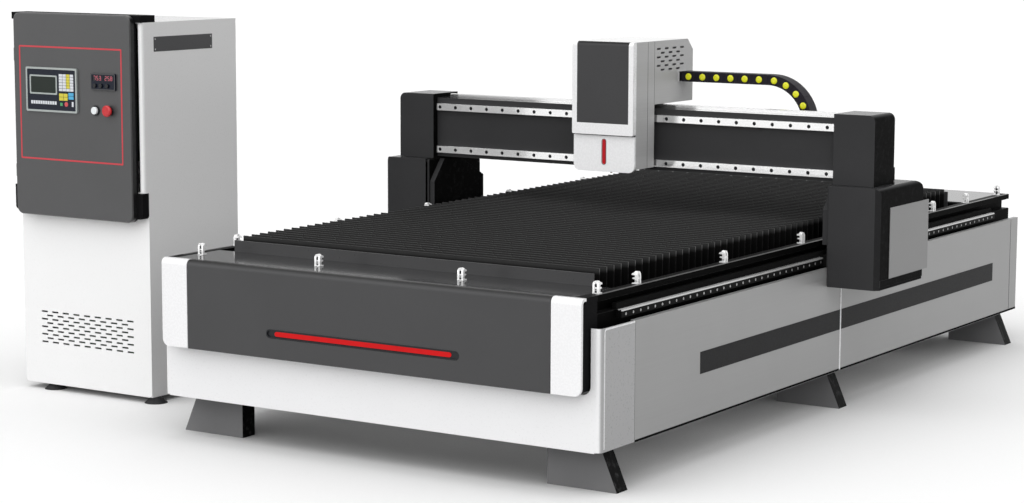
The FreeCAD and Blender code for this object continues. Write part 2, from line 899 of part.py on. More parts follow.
def gantry_legs():
    """Welded legs: an upright plate on the guide blocks, a flared motor cover, the beam's seat."""
    seat_top = lower_cover_top - sheet
    seat_low = seat_top - leg_plate
    plate = box(leg_plate_x, cover_inner_x, leg_front, leg_rear, leg_bottom, seat_top)
    corner = edges_along(plate, "X", lambda p: near(p.y, leg_rear) and near(p.z, seat_top))
    plate = plate.makeFillet(lower_cover_rear_round - sheet, corner)
    flare = prism_yz(
        [
            (beam_front_y + beam_rail_proud, seat_top),
            (beam_rear_y - beam_rail_proud, seat_top),
            (leg_rear - stiffener, seat_top - flare_shoulder),
            (leg_rear - stiffener, gearbox_bottom - stiffener),
            (leg_front + stiffener, gearbox_bottom - stiffener),
            (leg_front + stiffener, seat_top - flare_shoulder),
        ],
        leg_plate_x - flare_depth,
        leg_plate_x,
    )
    seat_outer = lower_cover_outer - lower_cover_round
    seat_rear = lower_cover_rear - lower_cover_rear_round
    seat = box(cover_inner_x, seat_outer, leg_front, seat_rear, seat_low, seat_top)
    saddle = box(
        cover_inner_x, beam_half, beam_front_y, beam_rear_y, seat_top, beam_bottom
    )
    leg = fused([plate, flare, seat, saddle]).cut(leg_windows())
    gear_floor = gearbox_bottom - stiffener
    shelf = box(
        pinion_x - gearbox / 2,
        seat_outer,
        gantry_y - gearbox / 2,
        gantry_y + gearbox / 2,
        gear_floor,
        gearbox_bottom,
    )
    shaft_hole = Part.makeCylinder(
        y_shaft_radius + motor_air, stiffener, V(pinion_x, gantry_y, gear_floor)
    )
    hanger = box(
        seat_outer - leg_plate,
        seat_outer,
        gantry_y - gearbox / 2,
        gantry_y + gearbox / 2,
        gearbox_bottom,
        seat_low,
    )
    return both(fused([leg, shelf, hanger]).cut(shaft_hole))


def lower_cover_solid(inset):
    """The lower cover's outer form, or its inner form when inset by the skin."""
    x1 = lower_cover_outer - inset
    y0 = lower_cover_front + inset
    y1 = lower_cover_rear - inset
    z0 = lower_cover_bottom + inset
    z1 = lower_cover_top - inset
    x0 = cover_inner_x - (1 if inset else 0)
    block = box(x0, x1, y0, y1, z0, z1)
    top = edges_along(block, "Y", lambda p: near(p.x, x1) and near(p.z, z1))
    rear = edges_along(block, "X", lambda p: near(p.y, y1) and near(p.z, z1))
    front = edges_along(block, "Z", lambda p: near(p.x, x1) and near(p.y, y0))
    form = block.makeFillet(lower_cover_round - inset, top)
    form = form.common(block.makeFillet(lower_cover_rear_round - inset, rear))
    return form.common(block.makeChamfer(lower_cover_bevel - inset * 0.4, front))


def lower_covers():
    """Black box covers round the legs, open on the side that faces the bed."""
    skin = lower_cover_solid(0).cut(lower_cover_solid(sheet))
    saddle_way = box(
        cover_inner_x - 1,
        beam_half + 1,
        beam_front_y - 1,
        beam_rear_y + 1,
        lower_cover_top - 2 * sheet,
        lower_cover_top + 1,
    )
    lip = box(
        lower_cover_outer,
        lower_cover_outer + side_plate_thickness,
        lower_cover_front + lower_cover_bevel,
        lower_cover_rear,
        side_plate_bottom - side_lip_height,
        side_plate_bottom,
    )
    return both(fused([skin.cut(saddle_way), lip]))


def leg_side_plates():
    """Bare metal plates on the outside of the lower covers, on a dark bottom lip."""
    x0 = lower_cover_outer
    x1 = x0 + side_plate_thickness
    plate = box(x0, x1, side_plate_front, side_plate_rear, side_plate_bottom, side_plate_top)
    return both(plate)


def upper_cover_solid(inset):
    x1 = upper_cover_outer - inset
    z1 = upper_cover_top - inset
    solid = box(
        upper_cover_inner + inset,
        x1,
        upper_cover_front + inset,
        upper_cover_rear - inset,
        lower_cover_top + 1 - (1 if inset else 0),
        z1,
    )
    rounded = edges_along(solid, "Y", lambda p: near(p.x, x1) and near(p.z, z1))
    return solid.makeFillet(upper_cover_round - inset, rounded)


def upper_covers():
    """Black covers over the ends of the beam, open below and where the beam comes in."""
    skin = upper_cover_solid(0).cut(upper_cover_solid(sheet))
    beam_way = box(
        upper_cover_inner - 1,
        upper_cover_inner + sheet + 1,
        beam_front_y - 1,
        upper_cover_rear - sheet,
        lower_cover_top,
        beam_top + 1,
    )
    return both(skin.cut(beam_way))


def gantry_beam():
    """Box-section beam that carries the two rails, the rack and the chain's tray."""
    outer = box(-beam_half, beam_half, beam_front_y, beam_rear_y, beam_bottom, beam_top)
    inner = box(
        -beam_half - 1,
        beam_half + 1,
        beam_front_y + beam_wall,
        beam_rear_y - beam_wall,
        beam_bottom + beam_wall,
        beam_top - beam_wall,
    )
    return outer.cut(inner)


def beam_rails():
    """Two linear rails along the front of the beam."""
    rails = []
    for z in beam_rail_zs:
        outline = [
            (beam_front_y, z),
            (beam_front_y, z + beam_rail_height),
            (beam_front_y - beam_rail_proud / 2, z + beam_rail_height - rail_waist),
            (rail_front_y, z + beam_rail_height),
            (rail_front_y, z),
            (beam_front_y - beam_rail_proud / 2, z + rail_waist),
        ]
        rails.append(prism_yz(outline, -beam_rail_half, beam_rail_half))
    return Part.makeCompound(rails)


def beam_rack():
    return box(
        -beam_rack_half,
        beam_rack_half,
        beam_rack_y,
        beam_rack_y + beam_rack_width,
        beam_top,
        beam_top + beam_rack_height,
    )


def bed_guide_blocks():
    """Two guide blocks a side that clasp the bed's rails and carry the legs."""
    middle = (rail_bottom + rail_top) / 2
    blocks = []
    for offset in (-block_spacing / 2, block_spacing / 2):
        y = gantry_y + offset
        block = box(
            leg_plate_x - block_depth,
            leg_plate_x,
            y - block_length / 2,
            y + block_length / 2,
            middle - block_height / 2,
            middle + block_height / 2,
        )
        groove = box(
            beam_outer_x,
            rail_outer_x + running_gap,
            y - block_length,
            y + block_length,
            rail_bottom - running_gap,
            rail_top + running_gap,
        )
        blocks.append(block.cut(groove))
    return both(Part.makeCompound(blocks))


def y_motors():
    """Gearbox and motor over each bed pinion, standing on the leg's shelf."""
    low = gearbox_bottom
    case = box(
        pinion_x - gearbox / 2,
        pinion_x + gearbox / 2,
        gantry_y - gearbox / 2,
        gantry_y + gearbox / 2,
        low,
        low + gearbox_height,
    )
    socket = Part.makeCylinder(y_shaft_radius + shaft_gap, socket_depth, V(pinion_x, gantry_y, low))
    motor = Part.makeCylinder(
        y_motor_radius, y_motor_height, V(pinion_x, gantry_y, low + gearbox_height)
    )
    return both(fused([case.cut(socket), motor]))


def y_pinion():
    """Pinion on its shaft; the fine teeth run at the pitch surface."""
    disc = Part.makeCylinder(
        y_pinion_radius,
        y_pinion_width,
        V(pinion_x, gantry_y, beam_ledge_top + (rack_height - y_pinion_width) / 2),
    )
    shaft = Part.makeCylinder(
        y_shaft_radius,
        gearbox_bottom + shaft_reach - beam_ledge_top - rack_height / 2,
        V(pinion_x, gantry_y, beam_ledge_top + rack_height / 2),
    )
    return fused([disc, shaft])


def chain_tray():
    """Folded tray behind the beam that the cable chain's lower run lies in."""
    y0 = beam_rear_y
    y1 = chain_rear_y + 10
    low = tray_floor - tray_sheet
    outline = [
        (y0, low),
        (y1, low),
        (y1, tray_wall_top),
        (y1 - tray_sheet, tray_wall_top),
        (y1 - tray_sheet, tray_floor),
        (y0 + tray_sheet, tray_floor),
        (y0 + tray_sheet, tray_wall_top),
        (y0, tray_wall_top),
    ]
    profile = prism_yz(outline, chain_fixed_x - chain_pitch, tray_end_x)
    profile = profile.cut(
        box(upper_cover_inner - 1, tray_end_x + 1, y0 - 1, upper_cover_rear + 1, low - 1, tray_wall_top + 1)
    )
    anchor = box(
        chain_fixed_x - chain_bracket,
        chain_fixed_x,
        chain_front_y,
        chain_rear_y,
        tray_floor,
        chain_low_z + chain_height / 2,
    )
    return fused([profile, anchor])


# ---------------------------------------------------------------- cable chain
def chain_run(x0, x1, z, x_first):
    """A straight run of links: a bar with a groove at every joint between links."""
    top = z + chain_height / 2
    bottom = z - chain_height / 2
    joints = []
    x = x_first
    while x < x1 - chain_notch:
        if x > x0 + chain_notch:
            joints.append(x)
        x += chain_pitch
    outline = [(x0, bottom)]
    for x in joints:
        outline += [(x - chain_notch / 2, bottom), (x, bottom + chain_notch), (x + chain_notch / 2, bottom)]
    outline += [(x1, bottom), (x1, top)]
    for x in reversed(joints):
        outline += [(x + chain_notch / 2, top), (x, top - chain_notch), (x - chain_notch / 2, top)]
    outline.append((x0, top))
    return prism_xz(outline, chain_front_y, chain_rear_y)


def polygon(radius, sides):
    """Corners of a regular polygon about the origin."""
    turn = 2 * math.pi / sides
    return [(radius * math.cos(turn * k), radius * math.sin(turn * k)) for k in range(sides)]


def plug(x, z):
    """A many-sided cap on the front of a link."""
    corners = [(x + u, z + v) for u, v in polygon(plug_radius, plug_sides)]
    return prism_xz(corners, chain_front_y - plug_proud, chain_front_y)


def run_plugs(x0, x1, z, x_first):
    plugs = []
    x = x_first - chain_pitch / 2
    while x < x1 - plug_radius:
        if x > x0 + plug_radius:
            plugs.append(plug(x, z))
        x += chain_pitch
    return plugs


def chain_upper_run():
    """Upper run, from the head's side to the bend."""
    first = chain_bend_x - chain_pitch * math.floor((chain_bend_x - chain_start_x) / chain_pitch)
    run = chain_run(chain_start_x, chain_bend_x - chain_gap, chain_top_z, first)
    return fused([run] + run_plugs(chain_start_x, chain_bend_x, chain_top_z, first))


def chain_lower_run():
    """Lower run, in the tray, from the bend to its fixed end."""
    first = chain_bend_x - chain_pitch * math.floor((chain_bend_x - chain_fixed_x) / chain_pitch)
    return chain_run(chain_fixed_x, chain_bend_x - chain_gap, chain_low_z, first)


def chain_bend():
    """The half turn between the runs: straight links, each turned by the same angle."""
    turn = math.pi / chain_bend_links
    outer = chain_radius + chain_height / 2
    inner = chain_radius - chain_height / 2
    half_notch = chain_notch / 2 / chain_radius

    def at(radius, angle):
        return (chain_bend_x + radius * math.sin(angle), chain_mid_z + radius * math.cos(angle))

    outline = [at(outer, 0)]
    for index in range(1, chain_bend_links):
        angle = turn * index
        outline += [
            at(outer, angle - half_notch),
            at(outer - chain_notch, angle),
            at(outer, angle + half_notch),
        ]
    outline += [at(outer, math.pi), at(inner, math.pi)]
    for index in reversed(range(1, chain_bend_links)):
        angle = turn * index
        outline += [
            at(inner, angle + half_notch),
            at(inner + chain_notch, angle),
            at(inner, angle - half_notch),
        ]
    outline.append(at(inner, 0))
    pieces = [prism_xz(outline, chain_front_y, chain_rear_y)]
    for index in range(chain_bend_links):
        x, z = at(chain_radius, turn * (index + 0.5))
        pieces.append(plug(x, z))
    return fused(pieces)


# ---------------------------------------------------------------- cutting head
def head_plate():
    """Carriage plate in front of the beam, its top shelf, and the hanger for the X motor."""
    y0 = head_step_y - head_plate_thickness
    half = head_half - sheet
    plate = box(-half, half, y0, head_step_y, head_side_bottom + sheet, head_top - 2 * head_rear_cut)
    shelf_z = pinion_z + x_motor_size / 2 + motor_air
    shelf = box(
        -x_motor_size,
        x_motor_size,
        head_step_y,
        beam_rack_y + beam_rack_width + x_motor_length,
        shelf_z,
        shelf_z + motor_hanger,
    )
    hanger_y = beam_rack_y + beam_rack_width + motor_air
    hanger = box(
        -x_motor_size / 2,
        x_motor_size / 2,
        hanger_y,
        hanger_y + motor_hanger,
        beam_top + motor_air,
        shelf_z,
    )
    hole = rod(
        x_shaft_radius + 1, V(0, hanger_y - 1, pinion_z), V(0, hanger_y + motor_hanger + 1, pinion_z)
    )
    return fused([plate, shelf, hanger.cut(hole)])


def z_drive():
    """Closed linear actuator that lowers and lifts the cutter."""
    y1 = head_step_y - head_plate_thickness
    body = box(
        -z_drive_half, z_drive_half, y1 - z_drive_depth, y1, head_side_bottom + sheet, z_drive_top
    )
    return body


def head_guide_blocks():
    """Four blocks that clasp the beam's rails."""
    blocks = []
    for z in beam_rail_zs:
        for x in (-head_block_offset, head_block_offset):
            block = box(
                x - head_block_length / 2,
                x + head_block_length / 2,
                head_step_y,
                beam_front_y - motor_air,
                z - head_block_margin,
                z + beam_rail_height + head_block_margin,
            )
            groove = box(
                x - head_block_length,
                x + head_block_length,
                rail_front_y - running_gap,
                beam_front_y,
                z - running_gap,
                z + beam_rail_height + running_gap,
            )
            blocks.append(block.cut(groove))
    return Part.makeCompound(blocks)


def head_side_outline(inset):
    """The head's side view: a deep upper box that reaches back over the beam, and a shallow lower one."""
    front = head_front_y + head_frame_depth
    low = head_side_bottom
    rear = head_rear_y - inset
    top = head_top - inset
    cut = head_rear_cut - inset * 0.6
    if inset:
        return [
            (front - 1, low - 1),
            (head_step_y + 1, low - 1),
            (head_step_y + 1, head_step_z - 1),
            (rear, head_step_z - 1),
            (rear, top - cut),
            (rear - cut, top),
            (front - 1, top),
        ]
    return [
        (front, low),
        (head_step_y, low),
        (head_step_y, head_step_z),
        (rear, head_step_z),
        (rear, top - cut),
        (rear - cut, top),
        (front, top),
    ]


def head_shell():
    """Folded cover of the head: sides, top and back, open at the front and below."""
    outer = prism_yz(head_side_outline(0), -head_half, head_half)
    inner = prism_yz(head_side_outline(sheet), -head_half + sheet, head_half - sheet)
    shell = outer.cut(inner)
    vents = []
    for row in range(vent_rows):
        shift = vent_pitch_y / 2 if row % 2 else 0
        count = 3 if row % 2 else 4
        z = vent_first_z - vent_pitch_z * row
        for column in range(count):
            y = vent_first_y + shift + vent_pitch_y * column
            vents.append(
                box(
                    -head_half - 1,
                    head_half + 1,
                    y - vent_length / 2,
                    y + vent_length / 2,
                    z - vent_height / 2,
                    z + vent_height / 2,
                )
            )
    shell = shell.cut(vents)
    bracket = box(
        head_half,
        chain_start_x,
        chain_front_y,
        chain_rear_y,
        chain_top_z - chain_height / 2,
        chain_top_z + chain_height / 2,
    )
    return fused([shell, bracket])


def head_front_solid():
    solid = box(
        -head_half,
        head_half,
        head_front_y,
        head_front_y + head_frame_depth,
        head_frame_bottom,
        head_top,
    )
    rolled = edges_along(
        solid, "X", lambda p: near(p.y, head_front_y) and near(p.z, head_top)
    )
    solid = solid.makeFillet(head_frame_round, rolled)
    lower = edges_along(solid, "Y", lambda p: near(p.z, head_frame_bottom))
    return solid.makeFillet(sheet * 2, lower)


def head_panel_zone():
    """Where the dark inset lies: down the face, and back over the frame's rolled top."""
    half = head_panel_half
    rear = head_front_y + head_frame_depth + 1
    face = box(
        -half, half, head_front_y - 1, head_front_y + head_panel_depth, head_panel_bottom, head_top + 1
    )
    roll = box(
        -half, half, head_front_y - 1, rear, head_top - head_panel_depth, head_top + 1
    )
    corner = head_frame_round - head_panel_depth
    y0, z1 = head_front_y + head_panel_depth, head_top - head_panel_depth
    fillet = box(-half, half, y0 - 1, y0 + corner, z1 - corner, z1 + 1)
    fillet = fillet.cut(rod(corner, V(-half - 1, y0 + corner, z1 - corner), V(half + 1, y0 + corner, z1 - corner)))
    return fused([face, roll, fillet])


def head_front_frame():
    """White moulded frame of the head's face, hollow behind."""
    hollow = box(
        -head_half + 3 * sheet,
        head_half - 3 * sheet,
        head_front_y + head_panel_depth + sheet,
        head_front_y + head_frame_depth + 1,
        head_frame_bottom + 3 * sheet,
        head_top - head_frame_round,
    )
    return head_front_solid().cut(head_panel_zone()).cut(hollow)


def head_front_panel():
    """Dark inset that follows the frame's rolled top edge."""
    return head_front_solid().common(head_panel_zone())


def lower_face_solid(y0, y1):
    solid = box(-head_half, head_half, y0, y1, lower_face_bottom, lower_face_top)
    lower = edges_along(solid, "Y", lambda p: near(p.z, lower_face_bottom))
    return solid.makeFillet(lower_face_corner, lower)


def head_light_zone(inset, y0, y1):
    half = head_light_half - inset
    bar = box(-half, half, y0, y1, head_light_bottom + inset, head_light_top - inset)
    return bar.makeFillet(half - 0.01, edges_along(bar, "Y", lambda p: True))


def head_lower_cover():
    """White lower face with rounded bottom corners and the slot for its light."""
    y1 = head_front_y + head_frame_depth
    plate = lower_face_solid(lower_face_y, y1)
    slot = head_light_zone(0, lower_face_y - 1, lower_face_y + head_light_depth)
    return plate.cut(slot)


def head_light():
    front = lower_face_y + head_light_depth - head_light_thickness
    return head_light_zone(light_fit, front, lower_face_y + head_light_depth)


def x_motor():
    """Motor behind the hanger, driving the X pinion."""
    y0 = beam_rack_y + beam_rack_width + motor_air + motor_hanger
    half = x_motor_size / 2
    body = box(-half, half, y0, y0 + x_motor_length - 2 * motor_hanger, pinion_z - half, pinion_z + half)
    socket = rod(x_shaft_radius + shaft_gap, V(0, y0, pinion_z), V(0, y0 + socket_depth, pinion_z))
    return body.cut(socket)


def x_pinion():
    y0 = beam_rack_y + (beam_rack_width - x_pinion_width) / 2
    y_socket = beam_rack_y + beam_rack_width + motor_air + motor_hanger + shaft_reach
    disc = rod(x_pinion_radius, V(0, y0, pinion_z), V(0, y0 + x_pinion_width, pinion_z))
    shaft = rod(x_shaft_radius, V(0, y0 + x_pinion_width / 2, pinion_z), V(0, y_socket, pinion_z))
    return fused([disc, shaft])


def turned(profile):
    """Turns an (r, z) outline about the cutter's axis."""
    loop = [V(r, 0, z) for r, z in profile]
    face = Part.Face(Part.makePolygon(loop + loop[:1]))
    solid = face.revolve(V(0, 0, 0), V(0, 0, 1), 360)
    solid.translate(V(0, cutter_y, 0))
    return solid


def cutting_head():
    """The cutter: a round optical tube that steps down to the nozzle holder, on its slider."""
    tube_body = turned(
        [
            (0, nozzle_top),
            (cutter_neck_radius, nozzle_top),
            (cutter_neck_radius, nozzle_top + 30),
            (cutter_radius, cutter_shoulder),
            (cutter_radius, cutter_top),
            (cutter_neck_radius, cutter_top + 20),
            (0, cutter_top + 20),
        ]
    )
    slider_rear = head_step_y - head_plate_thickness - z_drive_depth - running_gap
    slider = box(
        -slider_half, slider_half, cutter_y, slider_rear, slider_bottom, slider_top
    )
    return fused([tube_body, slider])


def nozzle():
    """Copper nozzle at the cutter's lower end."""
    return turned(
        [
            (0, nozzle_tip),
            (nozzle_tip_radius, nozzle_tip),
            (nozzle_radius, nozzle_tip + 18),
            (nozzle_radius, nozzle_top),
            (0, nozzle_top),
        ]
    )


# ---------------------------------------------------------------- control cabinet
def cabinet_body():
    """Upright cabinet: a lower bay, and an upper bay whose front stands forward of it."""
    rear = cabinet_rear
    lower = box(
        cabinet_left, cabinet_right, cabinet_front + sheet, rear, cabinet_bottom, cabinet_shoulder
    )
    upper = box(
        cabinet_left, cabinet_right, cabinet_upper_front, rear, cabinet_shoulder, cabinet_top
    )
    fronts = edges_along(upper, "Z", lambda p: near(p.y, cabinet_upper_front))
    upper = upper.makeFillet(cabinet_edge, fronts)
    inner_x0 = cabinet_left + sheet
    inner_x1 = cabinet_right - sheet
    lower_bay = box(
        inner_x0,
        inner_x1,
        cabinet_front,
        rear - sheet,
        cabinet_bottom + sheet,
        cabinet_shoulder - cabinet_shelf,
    )
    upper_bay = box(
        inner_x0 + cabinet_edge,
        inner_x1 - cabinet_edge,
        cabinet_upper_front - 1,
        rear - sheet,
        cabinet_shoulder + sheet,
        cabinet_top - sheet,
    )
    return fused([lower, upper]).cut(lower_bay).cut(upper_bay)


def cabinet_front_panel():
    """Lower front skin with rows of louvre slots."""
    plate = box(
        cabinet_left,
        cabinet_right,
        cabinet_front,
        cabinet_front + sheet,
        cabinet_bottom,
        cabinet_shoulder - panel_gap / 2,
    )
    corners = edges_along(plate, "Y", lambda p: near(p.z, cabinet_bottom))
    plate = plate.makeFillet(cabinet_edge, corners)
    slots = []
    for row in range(slot_rows):
        count = slot_columns - row % 2
        z = slot_first_z - slot_pitch_z * row
        for column in range(count):
            x = cabinet_mid + slot_pitch_x * (column - (count - 1) / 2)
            slots.append(
                slot_xz(x, z, slot_length, slot_height, cabinet_front - 1, cabinet_front + sheet + 1)
            )
    return plate.cut(slots)


def hood_outline(x_in, z_in, y0, y1, corner):
    return rounded_plate(
        hood_left + x_in, hood_right - x_in, y0, y1, hood_bottom + z_in, hood_top - z_in, corner
    )


def console_hood():
    """Black frame behind the door: it laps over the cabinet's top and down its front."""
    frame = hood_outline(0, 0, hood_front, cabinet_upper_front, hood_corner)
    way = box(
        hood_left + hood_wall,
        hood_right - hood_wall,
        hood_front - 1,
        cabinet_upper_front + 1,
        cabinet_shoulder + sheet,
        cabinet_top - hood_wall,
    )
    lip = box(
        cabinet_left, cabinet_right, hood_front, hood_lip_rear, cabinet_top, hood_top
    )
    chin = box(
        cabinet_left,
        cabinet_right,
        hood_front,
        cabinet_front,
        cabinet_shoulder - chin_height,
        cabinet_shoulder,
    )
    lower = edges_along(chin, "Y", lambda p: near(p.z, cabinet_shoulder - chin_height))
    chin = chin.makeFillet(cabinet_edge, lower)
    chin = chin.cut(
        box(
            hood_left + hood_wall,
            hood_right - hood_wall,
            cabinet_upper_front,
            cabinet_front + 1,
            hood_bottom,
            cabinet_shoulder - hood_wall,
        )
    )
    return fused([frame.cut(way), lip, chin])


def hinge_leaves():
    """Fixed halves of the door's two hinges, with their pins."""
    pieces = []
    for z in hinge_zs:
        barrel = Part.makeCylinder(hinge_radius, hinge_height, V(hinge_x, hinge_y, z - hinge_height))
        pin = Part.makeCylinder(
            hinge_pin_radius, 2 * hinge_height - 2, V(hinge_x, hinge_y, z - hinge_height)
        )
        leaf = box(
            hinge_x, hood_left, hood_front, cabinet_upper_front - 1, z - hinge_height, z
        )
        neck = box(
            hinge_x, hinge_x + hinge_radius, hinge_y, hood_front + 1, z - hinge_height, z
        )
        pieces.append(fused([barrel, pin, leaf, neck]))
    return Part.makeCompound(pieces)


def stem_way(x, z, y0, y1):
    """Square hole that a push button's stem slides in."""
    side = button_stem + 2 * stem_gap
    return slot_xz(x, z, side, side, y0, y1)


def console_door():
    """Dark door with rounded corners, its turned-in rim, and the moving hinge knuckles."""
    slab = rounded_plate(
        hood_left, hood_right, door_front, door_rear, hood_bottom, hood_top, hood_corner
    )
    front_edges = [
        edge
        for edge in slab.Edges
        if all(near(vertex.Point.y, door_front) for vertex in edge.Vertexes)
    ]
    slab = slab.makeChamfer(door_bevel, front_edges)
    pocket = rounded_plate(
        hood_left + door_rim,
        hood_right - door_rim,
        door_front + door_skin,
        door_rear + 1,
        hood_bottom + door_rim,
        hood_top - door_rim,
        hood_corner - door_rim / 2,
    )
    pieces = [slab.cut(pocket)]
    gap = door_gap
    for z in hinge_zs:
        barrel = Part.makeCylinder(hinge_radius, hinge_height - gap, V(hinge_x, hinge_y, z + gap))
        arm = box(
            hinge_x, hood_left + 1, hinge_y - hinge_radius, hinge_y, z + gap, z + hinge_height
        )
        bore = Part.makeCylinder(
            hinge_pin_radius + shaft_gap, 2 * hinge_height, V(hinge_x, hinge_y, z - 1)
        )
        pieces.append(fused([barrel, arm]).cut(bore))
    door = fused(pieces)
    holes = []
    for x, z in [(start_x, start_z), (estop_x, estop_z)] + [(x, knob_z) for x in knob_xs]:
        holes.append(stem_way(x, z, door_front - 1, door_front + door_skin + 1))
    return door.cut(holes)


def cnc_panel():
    """Controller face: a framed plate with a sunk screen and raised keys."""
    x0 = cnc_x - cnc_width / 2
    z0 = cnc_z - cnc_height / 2
    face_y = door_front - cnc_proud
    plate = rounded_plate(
        x0, x0 + cnc_width, face_y, door_front, z0, z0 + cnc_height, cnc_proud
    )
    screen_x = cnc_x + screen_offset_x
    screen_z = cnc_z + screen_offset_z
    sunk = box(
        screen_x - screen_width / 2,
        screen_x + screen_width / 2,
        face_y - 1,
        face_y + 2,
        screen_z - screen_height / 2,
        screen_z + screen_height / 2,
    )
    pieces = [plate.cut(sunk)]
    keys = 10
    step = screen_width / keys
    for index in range(keys):
        x = screen_x - screen_width / 2 + step * (index + 0.5)
        z = z0 + cnc_height * 0.13
        pieces.append(slot_xz(x, z, step * 0.72, 14, face_y - key_proud, face_y))
    for row in range(6):
        for column in range(3):
            x = cnc_x + cnc_width * 0.2 + 27 * column
            z = cnc_z + cnc_height * 0.4 - 26 * row
            pieces.append(slot_xz(x, z, 22, 20, face_y - key_proud, face_y))
    return fused(pieces)


def meter_module():
    """Small instrument block with two read-outs above three push buttons."""
    x0 = meter_x - meter_width / 2
    z0 = meter_z - meter_height / 2
    face_y = door_front - meter_proud
    block = rounded_plate(
        x0, x0 + meter_width, face_y, door_front, z0, z0 + meter_height, meter_proud / 2
    )
    cuts = []
    for side in (-1, 1):
        cuts.append(
            slot_xz(meter_x + side * 35, meter_z + 17, 58, 26, face_y - 1, face_y + 2)
        )
    for x in knob_xs:
        cuts.append(stem_way(x, knob_z, face_y - 1, door_front + 1))
    return block.cut(cuts)


def push_button(x, z, base_y, radius, proud, travel):
    """A round button with a bevelled rim, on a square stem that runs back through the door."""
    front = base_y - proud
    cap = rod(radius, V(x, front, z), V(x, base_y - travel - stem_gap, z))
    rim = [edge for edge in cap.Edges if near(edge.BoundBox.YMax, front)]
    cap = cap.makeChamfer(button_bevel, rim)
    inner = door_front + door_skin + stem_reach
    stem = slot_xz(x, z, button_stem, button_stem, base_y - travel - 1, inner)
    return fused([cap, stem])


def start_button():
    return push_button(start_x, start_z, door_front, start_radius, start_proud, push_travel)


def estop_button():
    """Mushroom head on a narrower neck."""
    button = push_button(estop_x, estop_z, door_front, estop_neck, estop_neck_proud, push_travel)
    front = door_front - estop_proud
    head = rod(estop_radius, V(estop_x, front, estop_z), V(estop_x, front + estop_head_depth, estop_z))
    rim = [edge for edge in head.Edges if near(edge.BoundBox.YMax, front)]
    head = head.makeChamfer(estop_bevel, rim)
    return fused([button, head])


def knob_button(index):
    base = door_front - meter_proud
    return push_button(knob_xs[index], knob_z, base, knob_radius, knob_proud, knob_travel)


def cabinet_feet():
    """Conical levelling feet."""
    feet = []
    for x in (cabinet_left + cabinet_foot_left, cabinet_right - cabinet_foot_right):
        for y in (cabinet_front + cabinet_foot_inset_y, cabinet_rear - cabinet_foot_inset_y):
            rings = []
            for radius, z in ((cabinet_foot_radius, 0), (cabinet_foot_neck, cabinet_bottom)):
                ring = [V(x + u, y + v, z) for u, v in polygon(radius, cabinet_foot_sides)]
                rings.append(Part.makePolygon(ring + ring[:1]))
            feet.append(Part.makeLoft(rings, True, True))
    return Part.makeCompound(feet)


def electrics_board():
    """Mounting board in the upper bay, with its switchgear."""
    y1 = cabinet_rear - sheet
    y0 = y1 - board_standoff
    x0 = cabinet_left + board_margin
    x1 = cabinet_right - board_margin
    z0 = cabinet_shoulder + board_margin
    z1 = cabinet_top - board_margin
    board = box(x0, x1, y0 - board_thickness, y0, z0, z1)
    pieces = [board]
    for x in (x0 + board_standoff, x1 - board_standoff):
        for z in (z0 + board_standoff, z1 - board_standoff):
            pieces.append(rod(8, V(x, y0 - 1, z), V(x, y1, z)))
    width = x1 - x0
    height = z1 - z0
    for left, low, w, h, depth in (
        (0.08, 0.62, 0.3, 0.3, 120),
        (0.46, 0.62, 0.2, 0.3, 90),
        (0.72, 0.62, 0.2, 0.3, 90),
        (0.08, 0.12, 0.5, 0.35, 140),
        (0.66, 0.12, 0.26, 0.35, 100),
    ):
        pieces.append(
            box(
                x0 + width * left,
                x0 + width * (left + w),
                y0 - board_thickness - depth,
                y0 - board_thickness,
                z0 + height * low,
                z0 + height * (low + h),
            )
        )
    return fused(pieces)


def laser_source():
    """The fibre source on the floor of the lower bay."""
    width, depth, height = source_size
    y0 = cabinet_front + 2 * board_margin
    z0 = cabinet_bottom + sheet
    return box(cabinet_mid - width / 2, cabinet_mid + width / 2, y0, y0 + depth, z0, z0 + height)


